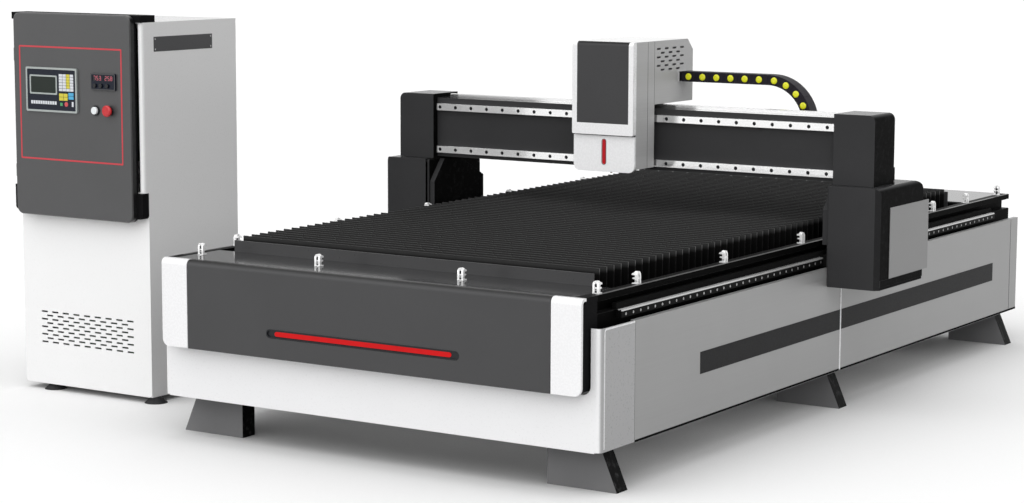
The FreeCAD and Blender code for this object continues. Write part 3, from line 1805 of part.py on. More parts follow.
# ---------------------------------------------------------------- write every node
nodes = {
    "side_beams": side_beams(),
    "bed_frame": bed_frame(),
    "side_panel_right": side_panels(),
    "side_panel_left": mirrored(side_panels()),
    "front_skirt": front_skirt(),
    "rear_panel": rear_panel(),
    "side_stripes": side_stripes(),
    "front_housing": front_housing(),
    "front_cover": front_cover(),
    "front_end_caps": front_end_caps(),
    "end_decks": end_decks(),
    "light_bar": light_bar(),
    "bed_feet": bed_feet(),
    "bed_rails": bed_rails(),
    "bed_racks": bed_racks(),
    "table_walls": table_walls(),
    "slat_combs": slat_combs(),
    "slats": slats(),
    "edge_stops": edge_stops(),
    "gantry_beam": gantry_beam(),
    "beam_rails": beam_rails(),
    "beam_rack": beam_rack(),
    "gantry_legs": gantry_legs(),
    "upper_covers": upper_covers(),
    "lower_covers": lower_covers(),
    "leg_side_plates": leg_side_plates(),
    "bed_guide_blocks": bed_guide_blocks(),
    "y_motors": y_motors(),
    "chain_tray": chain_tray(),
    "chain_lower_run": chain_lower_run(),
    "y_pinion_right": y_pinion(),
    "y_pinion_left": mirrored(y_pinion()),
    "head_plate": head_plate(),
    "z_drive": z_drive(),
    "head_guide_blocks": head_guide_blocks(),
    "head_shell": head_shell(),
    "head_front_frame": head_front_frame(),
    "head_front_panel": head_front_panel(),
    "head_lower_cover": head_lower_cover(),
    "head_light": head_light(),
    "x_motor": x_motor(),
    "x_pinion": x_pinion(),
    "cutting_head": cutting_head(),
    "nozzle": nozzle(),
    "chain_upper_run": chain_upper_run(),
    "chain_bend": chain_bend(),
    "cabinet_body": cabinet_body(),
    "cabinet_front_panel": cabinet_front_panel(),
    "console_hood": console_hood(),
    "cabinet_feet": cabinet_feet(),
    "hinge_leaves": hinge_leaves(),
    "cabinet_electrics": Part.makeCompound([electrics_board(), laser_source()]),
    "console_door": console_door(),
    "cnc_panel": cnc_panel(),
    "meter_module": meter_module(),
    "start_button": start_button(),
    "estop_button": estop_button(),
}
for index, place in enumerate(("left", "middle", "right")):
    nodes["meter_button_" + place] = knob_button(index)

for name, shape in nodes.items():
    save(name, shape)
print(len(nodes), "nodes")
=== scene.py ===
import json
import math
import random

import bmesh
import bpy
from mathutils import Matrix, Vector


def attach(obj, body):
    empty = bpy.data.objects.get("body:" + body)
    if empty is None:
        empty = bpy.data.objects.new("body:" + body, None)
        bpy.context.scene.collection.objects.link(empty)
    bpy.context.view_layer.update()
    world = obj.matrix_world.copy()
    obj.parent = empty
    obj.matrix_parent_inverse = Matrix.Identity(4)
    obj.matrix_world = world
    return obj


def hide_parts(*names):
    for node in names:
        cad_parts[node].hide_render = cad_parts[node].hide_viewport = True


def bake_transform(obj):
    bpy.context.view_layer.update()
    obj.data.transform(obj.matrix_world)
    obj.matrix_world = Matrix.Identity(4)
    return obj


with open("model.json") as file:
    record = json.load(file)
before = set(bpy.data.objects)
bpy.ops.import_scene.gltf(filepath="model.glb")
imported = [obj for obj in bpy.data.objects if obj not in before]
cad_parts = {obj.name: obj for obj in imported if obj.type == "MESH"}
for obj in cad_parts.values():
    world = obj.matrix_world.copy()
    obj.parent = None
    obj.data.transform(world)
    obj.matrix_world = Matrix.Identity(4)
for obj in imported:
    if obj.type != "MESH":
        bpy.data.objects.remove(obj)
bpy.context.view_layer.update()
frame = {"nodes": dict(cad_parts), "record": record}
nodes = frame["nodes"]
random.seed(7)

# ---- places
# Lengths below are in the bed's own millimetres: x = 0 on its centreline, y = 0 at the front
# of its skirt, z = 0 on the floor. P() turns them into the frame's metres.
SHIFT_X, SHIFT_Y = 531.5, -2190.75


def P(x, y, z):
    return Vector(((x + SHIFT_X) / 1000, (y + SHIFT_Y) / 1000, z / 1000))


# Places of the CAD that the pieces below sit on, in the same millimetres.
DECK_TOP = 814.0
SKIN_X = 1130.0                 # outer face of the side panels
BED_RAIL_Y = (210.0, 4184.0)    # ends of the bed's rails and racks
PANEL_REAR_Y = 4445.5
HEAD_HALF = 170.0               # half the head's width
DOOR_Y = 420.0                  # front of the console door
CABINET_X = -1641.0             # the cabinet's side that faces the bed


# ---- camera
CAMERA_AT = (6.5227, -10.39325, 2.2955)     # metres
CAMERA_TURN = (32.776, 7.744, 0.185)        # yaw, pitch down and roll, in degrees
LENS, SENSOR = 86.06, 36                    # mm


def make_camera():
    yaw, pitch, roll = (math.radians(angle) for angle in CAMERA_TURN)
    forward = Vector((-math.sin(yaw) * math.cos(pitch), math.cos(yaw) * math.cos(pitch), -math.sin(pitch)))
    right = Vector((math.cos(yaw), math.sin(yaw), 0))
    up = right.cross(forward)
    c, s = math.cos(roll), math.sin(roll)
    axes = (c * right + s * up, -s * right + c * up, -forward, CAMERA_AT)
    data = bpy.data.cameras.new("view")
    data.lens = LENS
    data.sensor_width = SENSOR
    data.clip_end = 200
    cam = bpy.data.objects.new("view", data)
    bpy.context.scene.collection.objects.link(cam)
    cam.matrix_world = Matrix([[axis[i] for axis in axes] for i in range(3)] + [(0, 0, 0, 1)])
    bpy.context.scene.camera = cam


# ---- materials
class Shade:
    """A small helper for writing node trees."""

    def __init__(self, name):
        self.mat = bpy.data.materials.new(name)
        self.mat.use_nodes = True
        self.t = self.mat.node_tree
        self.t.nodes.clear()
        self.out = self.t.nodes.new("ShaderNodeOutputMaterial")
        self.bsdf = self.t.nodes.new("ShaderNodeBsdfPrincipled")
        self.t.links.new(self.bsdf.outputs[0], self.out.inputs[0])
        self.co = self.t.nodes.new("ShaderNodeTexCoord").outputs["Object"]

    def link(self, a, b):
        self.t.links.new(a, b)

    def mapped(self, scale):
        n = self.t.nodes.new("ShaderNodeMapping")
        n.inputs["Scale"].default_value = scale
        self.link(self.co, n.inputs["Vector"])
        return n.outputs[0]

    def noise(self, scale, detail=2.0, stretch=None, rough=0.5):
        n = self.t.nodes.new("ShaderNodeTexNoise")
        n.inputs["Scale"].default_value = scale
        n.inputs["Detail"].default_value = detail
        n.inputs["Roughness"].default_value = rough
        self.link(self.mapped(stretch) if stretch else self.co, n.inputs["Vector"])
        return n.outputs["Fac"]

    def remap(self, value, low, high, a=0.3, b=0.7):
        """value's span from a to b, stretched to run from low to high."""
        n = self.t.nodes.new("ShaderNodeMapRange")
        n.inputs["From Min"].default_value = a
        n.inputs["From Max"].default_value = b
        n.inputs["To Min"].default_value = low
        n.inputs["To Max"].default_value = high
        self.link(value, n.inputs["Value"])
        return n.outputs[0]

    def math(self, op, a, b=None):
        n = self.t.nodes.new("ShaderNodeMath")
        n.operation = op
        for i, v in enumerate((a, b)):
            if v is None:
                continue
            if isinstance(v, (int, float)):
                n.inputs[i].default_value = v
            else:
                self.link(v, n.inputs[i])
        return n.outputs[0]

    def mix(self, fac, a, b):
        """A colour between a and b. Sockets 6 and 7 are the node's colours, and output 2 its result."""
        n = self.t.nodes.new("ShaderNodeMix")
        n.data_type = "RGBA"
        self.link(fac, n.inputs["Factor"])
        for i, v in ((6, a), (7, b)):
            if isinstance(v, tuple):
                n.inputs[i].default_value = (*v, 1)
            else:
                self.link(v, n.inputs[i])
        return n.outputs[2]

    def lerp(self, fac, a, b):
        """A number between a and b."""
        n = self.t.nodes.new("ShaderNodeMix")
        n.data_type = "FLOAT"
        self.link(fac, n.inputs["Factor"])
        for i, v in ((2, a), (3, b)):
            if isinstance(v, (int, float)):
                n.inputs[i].default_value = v
            else:
                self.link(v, n.inputs[i])
        return n.outputs[0]

    def sideways(self):
        """1 on faces that look along x, either way, and 0 on the others."""
        return self.remap(self.math("ABSOLUTE", self.facing("X")), 0.0, 1.0, 0.55, 0.85)

    def upwards(self, low, high):
        """1 on faces that look up, and 0 on the others."""
        return self.remap(self.facing("Z"), 0.0, 1.0, low, high)

    def painted_light_tone(self, colour, sides, tops):
        """colour, with painted shade and light: another tone on faces that look along x, or up, for how the lamps
        fall on them.
        """
        if sides:
            colour = self.mix(self.sideways(), colour, rgb(sides))
        if tops:
            colour = self.mix(self.upwards(0.35, 0.9), colour, rgb(tops))
        return colour

    def bump(self, height, strength, distance=0.001, normal=None):
        n = self.t.nodes.new("ShaderNodeBump")
        n.inputs["Strength"].default_value = strength
        n.inputs["Distance"].default_value = distance
        self.link(height, n.inputs["Height"])
        if normal is not None:
            self.link(normal, n.inputs["Normal"])
        return n.outputs[0]

    def bevel(self, radius):
        n = self.t.nodes.new("ShaderNodeBevel")
        n.samples = 3
        n.inputs["Radius"].default_value = radius
        return n.outputs[0]

    def edge(self, radius):
        """1 along sharp edges, 0 on flat faces."""
        g = self.t.nodes.new("ShaderNodeNewGeometry")
        d = self.t.nodes.new("ShaderNodeVectorMath")
        d.operation = "DOT_PRODUCT"
        self.link(self.bevel(radius), d.inputs[0])
        self.link(g.outputs["Normal"], d.inputs[1])
        return self.remap(d.outputs["Value"], 1.0, 0.0, 0.86, 0.995)

    def facing(self, axis):
        """The face's own direction along x, y or z, in the piece's own frame."""
        g = self.t.nodes.new("ShaderNodeTexCoord")
        s = self.t.nodes.new("ShaderNodeSeparateXYZ")
        self.link(g.outputs["Normal"], s.inputs[0])
        return s.outputs["XYZ".index(axis)]

    def place(self, axis):
        """Where the point lies along x, y or z, in metres."""
        s = self.t.nodes.new("ShaderNodeSeparateXYZ")
        self.link(self.co, s.inputs[0])
        return s.outputs["XYZ".index(axis)]


def rgb(hex_code):
    """#rrggbb as linear colour."""
    out = []
    for i in (0, 2, 4):
        v = int(hex_code[i:i + 2], 16) / 255
        out.append(v / 12.92 if v <= 0.04045 else ((v + 0.055) / 1.055) ** 2.4)
    return tuple(out)


def shift(colour, k):
    return tuple(min(1.0, max(0.0, c * k)) for c in colour)


def paint(name, code, rough, peel, coat=0.0, edge_wear_and_light="", edge_wear_and_light_level=0.35, spread=0.06, speck=900,
          gloss=0.5, grime_level=0.35, sides="", tops="", top_rough=None, edge_size=0.003):
    """Powder coat: slight tone drift, orange-peel bump, and edges of another tone, partly rubbed wear and partly
    painted highlight and shade.

    sides and tops give the coat another tone on faces that look along x, or up: painted shade and light, not a second
    coat."""
    s = Shade(name)
    s.bsdf.inputs["Specular IOR Level"].default_value = gloss
    base = rgb(code)
    drift = s.remap(s.noise(3.1, 3.0), 0.0, 1.0)
    colour = s.mix(drift, shift(base, 1 - spread), shift(base, 1 + spread))
    # painted shade and light: faces that look along x, or up, take the sides and tops tones
    colour = s.painted_light_tone(colour, sides, tops)
    grime = s.remap(s.noise(38, 5.0, rough=0.65), 0.0, grime_level, 0.52, 0.8)
    colour = s.mix(grime, colour, shift(base, 0.88))
    # edges take the edge colour: partly rubbed wear, partly painted highlight and shade along them
    edge = s.edge(edge_size)
    patch = s.remap(s.noise(55, 4.0), 0.0, 1.0, 0.35, 0.62)
    edge_wear_and_light_mask = s.math("MULTIPLY", s.math("MULTIPLY", edge, patch), edge_wear_and_light_level)
    colour = s.mix(edge_wear_and_light_mask, colour, rgb(edge_wear_and_light) if edge_wear_and_light else shift(base, 1.35))
    s.link(colour, s.bsdf.inputs["Base Color"])
    r = s.remap(s.noise(120, 3.0), rough - 0.05, rough + 0.07)
    if top_rough is not None:
        r = s.lerp(s.upwards(0.7, 0.97), r, top_rough)
    s.link(r, s.bsdf.inputs["Roughness"])
    if coat:
        s.bsdf.inputs["Coat Weight"].default_value = coat
        s.bsdf.inputs["Coat Roughness"].default_value = 0.12
    fine = s.noise(speck, 2.0)
    s.link(s.bump(fine, peel, 0.0004, s.bevel(0.0015)), s.bsdf.inputs["Normal"])
    return s.mat


def brushed(name, code, rough, metal, stretch, streak, bump, aniso, sides="", tops="", top_rough=None,
            gloss=0.5, burnt=None):
    """Brushed or ground metal: fine lines one way, cloudy tone, and a painted highlight along the edges.

    burnt is the band of heights (m) over which the metal is painted darker going down: painted shade in the gaps
    between the slats."""
    s = Shade(name)
    s.bsdf.inputs["Specular IOR Level"].default_value = gloss
    base = rgb(code)
    lines = s.noise(1.0, 4.0, stretch, 0.6)
    cloud = s.remap(s.noise(2.3, 3.0), 0.0, 1.0)
    colour = s.mix(s.remap(lines, 0.0, 1.0), shift(base, 1 - streak), shift(base, 1 + streak))
    colour = s.mix(s.math("MULTIPLY", cloud, 0.25), colour, shift(base, 0.86))
    # painted shade and light on faces that look along x, or up
    colour = s.painted_light_tone(colour, sides, tops)
    # painted shade: the slats darken going down, into the gaps between them
    if burnt:
        colour = s.mix(s.remap(s.place("Z"), 1.0, 0.0, *burnt), colour, shift(base, 0.12))
    # painted highlight: edges drawn lighter, as if they caught the light
    edge = s.edge(0.002)
    colour = s.mix(s.math("MULTIPLY", edge, 0.4), colour, shift(base, 1.45))
    s.link(colour, s.bsdf.inputs["Base Color"])
    r = s.remap(lines, rough - 0.06, rough + 0.08)
    if top_rough is not None:
        r = s.lerp(s.upwards(0.7, 0.97), r, top_rough)
    s.link(r, s.bsdf.inputs["Roughness"])
    s.bsdf.inputs["Metallic"].default_value = metal
    s.bsdf.inputs["Anisotropic"].default_value = aniso
    s.link(s.bump(lines, bump, 0.0003, s.bevel(0.001)), s.bsdf.inputs["Normal"])
    return s.mat


def plastic(name, code, rough, grain, scale=1400, spread=0.04, gloss=0.5):
    """Moulded plastic or enamel: an even tone with a fine grain."""
    s = Shade(name)
    s.bsdf.inputs["Specular IOR Level"].default_value = gloss
    base = rgb(code)
    colour = s.mix(s.remap(s.noise(9.0, 2.0), 0.0, 1.0), shift(base, 1 - spread), shift(base, 1 + spread))
    s.link(colour, s.bsdf.inputs["Base Color"])
    s.link(s.remap(s.noise(200, 2.0), rough - 0.04, rough + 0.06), s.bsdf.inputs["Roughness"])
    s.link(s.bump(s.noise(scale, 1.0), grain, 0.0003, s.bevel(0.0008)), s.bsdf.inputs["Normal"])
    return s.mat


def glow(name, code, strength, body="240303"):
    """A lit lens: coloured plastic with a brighter core."""
    s = Shade(name)
    s.bsdf.inputs["Specular IOR Level"].default_value = 0.15
    streak = s.remap(s.noise(14, 2.0), 0.75, 1.1)
    s.link(s.mix(streak, rgb(body), shift(rgb(body), 1.3)), s.bsdf.inputs["Base Color"])
    s.link(s.remap(s.noise(160, 2.0), 0.14, 0.24), s.bsdf.inputs["Roughness"])
    s.link(s.mix(streak, shift(rgb(code), 0.7), rgb(code)), s.bsdf.inputs["Emission Color"])
    s.bsdf.inputs["Emission Strength"].default_value = strength
    s.link(s.bump(s.noise(300, 1.0), 0.05, 0.0003), s.bsdf.inputs["Normal"])
    return s.mat


# Each row: colour, roughness, orange peel, clear coat, edge colour, its strength (rubbed wear with painted highlight
# and shade on edges), tone spread, speck scale, and the rest; sides and tops in the rest are painted shade and light.
PAINTS = {
    "white_skin": ("f2f2f3", 0.30, 0.12, 0.3, "c9c9cc", 0.25, 0.008, 1100, dict(grime_level=0.04)),
    "white_bright": ("fafafb", 0.26, 0.04, 0.3, "a8a8aa", 0.45, 0.006, 1100, dict(grime_level=0.0, edge_size=0.004)),
    "skirt_white": ("f6f6f7", 0.30, 0.05, 0.3, "d0d0d2", 0.3, 0.008, 1100, dict(grime_level=0.0, sides="a9a9aa")),
    "cabinet_white": ("fcfcfc", 0.30, 0.06, 0.08, "dcdcde", 0.25, 0.008, 1100,
                      dict(grime_level=0.0, sides="e6e6e6", tops="e0e0e0", gloss=0.2)),
    "charcoal_panel": ("454546", 0.36, 0.18, 0.12, "7a7a7a", 0.3, 0.04, 1000, dict(gloss=0.3)),
    "cover_charcoal": ("454546", 0.36, 0.18, 0.06, "7a7a7a", 0.25, 0.04, 1000, dict(gloss=0.22, tops="0c0c0c")),
    "head_dark": ("4a4a4b", 0.3, 0.12, 0.0, "6a6a6a", 0.2, 0.03, 1000, dict(gloss=0.06, tops="060606")),
    "door_grey": ("4e4e4f", 0.36, 0.18, 0.1, "7c7c7c", 0.3, 0.04, 1000, dict(gloss=0.3, sides="161617")),
    "hood_black": ("161617", 0.5, 0.2, 0.0, "3c3c3c", 0.3, 0.05, 900, dict(gloss=0.015)),
    "black_paint": ("3c3c3d", 0.48, 0.25, 0.0, "6a6a6a", 0.3, 0.07, 800,
                    dict(gloss=0.012, sides="0a0a0a", top_rough=0.12)),
    "beam_dark": ("373738", 0.42, 0.2, 0.0, "6a6a6a", 0.3, 0.06, 800, dict(gloss=0.08, top_rough=0.1)),
    "beam_side": ("0f0f0f", 0.5, 0.3, 0.0, "8a8a8a", 0.3, 0.06, 800,
                  dict(gloss=0.01, edge_size=0.0025, tops="1a1a1a", top_rough=0.4, sides="060606")),
    # a painted highlight along the side beams' top flange
    "flange_edge_highlight": ("5a5a5a", 0.35, 0.1, 0.0, "8a8a8a", 0.3, 0.05, 900, dict(gloss=0.3)),
    "frame_paint": ("242425", 0.5, 0.3, 0.0, "585858", 0.3, 0.08, 700, dict(gloss=0.25)),
    # painted reflection: the feet's grey faces stand for the floor mirrored in them; their black sides are painted
    # shade
    "feet_painted_reflection": ("7a7a7b", 0.4, 0.2, 0.0, "8a8a8a", 0.3, 0.08, 700, dict(gloss=0.03, sides="060606")),
    "deck_grey": ("363637", 0.3, 0.0, 0.0, "9a9a9a", 0.3, 0.03, 900, dict(gloss=0.4, top_rough=0.13)),
    "comb_dark": ("080808", 0.6, 0.2, 0.0, "303030", 0.3, 0.08, 800, dict(gloss=0.01)),
    "wall_grey": ("3f3f40", 0.32, 0.03, 0.0, "8a8a8a", 0.3, 0.05, 900, dict(gloss=0.3)),
    "motor_black": ("1f1f20", 0.4, 0.3, 0.0, "505050", 0.3, 0.06, 700, {}),
    "board_metal": ("5d6b5c", 0.5, 0.2, {}),
}

# Each row: colour, roughness, metallic, how the lines stretch, streak, bump, anisotropy, and the rest; sides and tops
# in the rest are painted shade and light on faces that look along x, or up.
METALS = {
    "grey_skin": ("9f9f9f", 0.42, 0.35, (0.9, 0.9, 220), 0.05, 0.08, 0.2, {}),
    "head_side": ("bababa", 0.4, 0.0, (0.9, 0.9, 220), 0.04, 0.06, 0.2, dict(tops="f0f0f0", top_rough=0.12)),
    # slat_steel: sides and tops are painted light on the slats' ends and tops; burnt is painted shade lower down
    "slat_steel": ("363636", 0.6, 0.2, (40, 3, 3), 0.08, 0.05, 0.1,
                   dict(gloss=0.06, sides="6c6c6c", tops="4c4c4c", burnt=(0.852, 0.870))),
    "rail_steel": ("f4f4f4", 0.10, 0.9, (1.5, 1.5, 500), 0.03, 0.03, 0.2, {}),
    # rail_lit_edge and rail_shade are lit and shaded copies of the rails' steel: painted highlight on the bed rails'
    # top edges, painted shade on their faces
    "rail_lit_edge": ("c8c8c8", 0.25, 0.5, (500, 1.5, 1.5), 0.05, 0.04, 0.2, {}),
    "rail_shade": ("101010", 0.45, 0.0, (500, 1.5, 1.5), 0.12, 0.06, 0.2, dict(gloss=0.03)),
    "bolt_steel": ("b8b8b8", 0.3, 0.6, (300, 300, 300), 0.06, 0.05, 0.0, {}),
    "rack_steel": ("161616", 0.5, 0.1, (1.5, 1.5, 500), 0.1, 0.08, 0.3, dict(gloss=0.03)),
    "gear_steel": ("8a8a8a", 0.3, 0.8, (200, 200, 200), 0.08, 0.05, 0.0, {}),
    "stop_chrome": ("ffffff", 0.14, 0.25, (300, 300, 20), 0.03, 0.02, 0.0, {}),
    "plate_metal": ("868686", 0.4, 0.3, (300, 2, 2), 0.08, 0.1, 0.3, {}),
    "cutter_metal": ("b0b0b3", 0.25, 0.9, (200, 200, 6), 0.06, 0.06, 0.3, {}),
    "nozzle_copper": ("b8683c", 0.28, 1.0, (250, 250, 10), 0.06, 0.05, 0.2, {}),
    "panel_silver": ("a2a8a6", 0.34, 0.4, (300, 2, 2), 0.05, 0.05, 0.2, {}),
}

# Each row: colour, roughness, grain, and the rest.
PLASTICS = {
    "dark_stripe": ("1e1e1f", 0.5, 0.06, dict(gloss=0.1)),
    "chain_plastic": ("1b181f", 0.5, 0.2, dict(scale=900, spread=0.1, gloss=0.15)),
    "panel_black": ("0f1524", 0.3, 0.06, dict(gloss=0.2)),
    "screen_dark": ("232a25", 0.12, 0.02, dict(gloss=0.2)),
    "key_white": ("dcdfe4", 0.35, 0.05, {}),
    "key_yellow": ("d8cc3a", 0.35, 0.05, {}),
    "key_blue": ("4aa8d4", 0.35, 0.05, {}),
    "key_green": ("4aa066", 0.35, 0.05, {}),
    "key_red": ("d04a50", 0.35, 0.05, {}),
    "trim_red": ("c8323e", 0.4, 0.06, {}),
    "button_white": ("eef2f4", 0.22, 0.03, {}),
    "button_red": ("c81e26", 0.22, 0.03, {}),
    "plug_yellow": ("e6e61e", 0.3, 0.05, {}),
    "button_dark": ("14161a", 0.35, 0.05, dict(gloss=0.3)),
    "plate_dark": ("38383a", 0.4, 0.06, {}),
}

# Each row: colour, strength, and the rest.
LIGHTS = {
    "light_red": ("dc0a10", 0.85, {}),
    "lens_red": ("b8101a", 0.75, dict(body="30060a")),
    "digit_red": ("e8788a", 0.95, {}),
}

MATS = {}


def build_materials():
    for make, table in ((paint, PAINTS), (brushed, METALS), (plastic, PLASTICS), (glow, LIGHTS)):
        for name, (*values, rest) in table.items():
            MATS[name] = make(name, *values, **rest)


# CAD nodes whose look differs from the other nodes of their slot.
DRESS = {
    "front_skirt": "skirt_white", "front_end_caps": "white_bright", "head_front_frame": "white_bright",
    "head_lower_cover": "white_bright", "head_shell": "head_side", "front_cover": "cover_charcoal",
    "head_front_panel": "head_dark", "console_door": "door_grey", "console_hood": "hood_black",
    "cabinet_body": "cabinet_white", "cabinet_front_panel": "cabinet_white", "gantry_beam": "beam_dark",
    "side_beams": "beam_side", "front_housing": "hood_black", "slat_combs": "comb_dark", "bed_feet": "feet_painted_reflection",
    "table_walls": "wall_grey", "head_light": "lens_red",
}


SLOT_OF = {row["node"]: row["material_slot"] for row in frame["record"]["subparts"]}


def dress_nodes():
    """Each CAD node gets the material of its slot in the record."""
    for name, obj in nodes.items():
        mat = MATS[DRESS.get(name, SLOT_OF[name])]
        if not obj.material_slots:
            obj.data.materials.append(mat)
        for s in obj.material_slots:
            s.material = mat


# ---- stage
WORLD_LIGHT, WORLD_SEEN = 0.4, 1.0      # strength as light, and as the white that the camera and gloss see
FLOOR_HALF = 60.0                       # metres
FLOOR_NEAR, FLOOR_FAR = 0.68, 0.99      # tone beside the machine, painted shade, and away from it
FLOOR_BOUNCE = 0.42                     # tone in the light that the floor sends back
SHADE_REACH = 2.6                       # metres from the machine over which the floor is painted darker, as shade
# Lamps: direction of the source, strength, spread in degrees. The last one lights the floor alone, so that the
# floor stays white while pale tops keep their tone.
LAMPS = {
    "key": ((-0.12, -0.90, 0.50), 2.14, 100),
    "side": ((0.9, -0.3, 0.55), 0.66, 70),
    "top": ((0.0, 0.1, 1.0), 0.15, 90),
    "floor_lamp": ((0.0, 0.1, 1.0), 0.52, 90),
}


def ray_is(tree, *kinds):
    """1 for rays of these kinds, 0 for the others."""
    path = tree.nodes.new("ShaderNodeLightPath")
    seen = path.outputs[kinds[0]]
    for kind in kinds[1:]:
        either = tree.nodes.new("ShaderNodeMath")
        either.operation = "MAXIMUM"
        tree.links.new(seen, either.inputs[0])
        tree.links.new(path.outputs[kind], either.inputs[1])
        seen = either.outputs[0]
    return seen


def pick_shader(tree, out, factor, first, second):
    """Send first to the output where factor is 0, and second where it is 1."""
    mix = tree.nodes.new("ShaderNodeMixShader")
    tree.links.new(factor, mix.inputs[0])
    tree.links.new(first.outputs[0], mix.inputs[1])
    tree.links.new(second.outputs[0], mix.inputs[2])
    tree.links.new(mix.outputs[0], out.inputs[0])


def make_world():
    world = bpy.data.worlds.new("studio")
    bpy.context.scene.world = world
    world.use_nodes = True
    t = world.node_tree
    t.nodes.clear()
    out = t.nodes.new("ShaderNodeOutputWorld")
    shades = []
    for strength in (WORLD_LIGHT, WORLD_SEEN):
        shade = t.nodes.new("ShaderNodeBackground")
        shade.inputs["Color"].default_value = (1, 1, 1, 1)
        shade.inputs["Strength"].default_value = strength
        shades.append(shade)
    pick_shader(t, out, ray_is(t, "Is Camera Ray", "Is Transmission Ray", "Is Glossy Ray"), *shades)


def make_floor():
    """A pale floor that keeps the shadow, is painted darker beside the machine as shade, and stays white away from
    it.
    """
    me = bpy.data.meshes.new("floor")
    r = FLOOR_HALF
    me.from_pydata([(-r, -r, 0), (r, -r, 0), (r, r, 0), (-r, r, 0)], [], [(0, 1, 2, 3)])
    floor = bpy.data.objects.new("floor", me)
    bpy.context.scene.collection.objects.link(floor)
    fm = bpy.data.materials.new("floor")
    fm.use_nodes = True
    t = fm.node_tree
    t.nodes.clear()
    out = t.nodes.new("ShaderNodeOutputMaterial")
    # painted shade: an occlusion mask darkens the floor's tone near the machine
    near = t.nodes.new("ShaderNodeAmbientOcclusion")
    near.samples = 8
    near.inputs["Distance"].default_value = SHADE_REACH
    tone = t.nodes.new("ShaderNodeMix")
    tone.data_type = "RGBA"
    tone.inputs[6].default_value = (FLOOR_NEAR, FLOOR_NEAR, FLOOR_NEAR, 1)
    tone.inputs[7].default_value = (FLOOR_FAR, FLOOR_FAR, FLOOR_FAR, 1)
    t.links.new(near.outputs["AO"], tone.inputs["Factor"])
    pale = t.nodes.new("ShaderNodeBsdfDiffuse")
    t.links.new(tone.outputs[2], pale.inputs["Color"])
    grey = t.nodes.new("ShaderNodeBsdfDiffuse")
    grey.inputs["Color"].default_value = (FLOOR_BOUNCE, FLOOR_BOUNCE, FLOOR_BOUNCE, 1)
    pick_shader(t, out, ray_is(t, "Is Camera Ray", "Is Glossy Ray"), grey, pale)
    me.materials.append(fm)
    return floor


def make_lamps(floor):
    """Wide, far soft lights, so that their level is the same over the whole floor."""
    lamps = {}
    for name, (source, strength, spread) in LAMPS.items():
        d = bpy.data.lights.new(name, "SUN")
        d.energy = strength
        d.angle = math.radians(spread)
        o = bpy.data.objects.new(name, d)
        bpy.context.scene.collection.objects.link(o)
        o.rotation_euler = Vector(source).to_track_quat("Z", "Y").to_euler()
        lamps[name] = o
    ground = bpy.data.collections.new("ground")
    ground.objects.link(floor)
    lamps["floor_lamp"].light_linking.receiver_collection = ground


make_camera()
make_world()
make_lamps(make_floor())
bpy.context.scene.view_settings.view_transform = "Standard"
build_materials()
dress_nodes()


# ---- mesh code
def turned(axis, u, v, w):
    """The point at w along an axis and at u, v along the other two, in order."""
    return {"x": (w, u, v), "y": (u, w, v), "z": (u, v, w)}[axis]


def around(centre, axis, r, angle, h):
    """The point at radius r and an angle about an axis through centre, h along it."""
    return tuple(c + d for c, d in zip(centre, turned(axis, r * math.cos(angle), r * math.sin(angle), h)))


def lids(n):
    """The two ends of a form made of an outline of n points and its copy."""
    return [tuple(range(n)), tuple(reversed(range(n, 2 * n)))]


def bent_lids(n):
    """The two ends when the outline doubles back on itself: quads between its two runs."""
    first = [(i, i + 1, n - 2 - i, n - 1 - i) for i in range(n // 2 - 1)]
    return first + [tuple(n + j for j in reversed(q)) for q in first]


def belt(n, k=0):
    """The faces between an outline that starts at point k and its copy, which follows it."""
    return [(k + i, k + (i + 1) % n, k + n + (i + 1) % n, k + n + i) for i in range(n)]


def circle(u, v, r, n, start=0.0):
    """n points on a circle, from an angle in degrees on, as an outline."""
    turns = [math.radians(start + 360 * i / n) for i in range(n)]
    return [(u + r * math.cos(t), v + r * math.sin(t)) for t in turns]


def pair(s, a, b):
    """The span from a to b on side s of the centreline, as low and high."""
    return sorted((s * a, s * b))


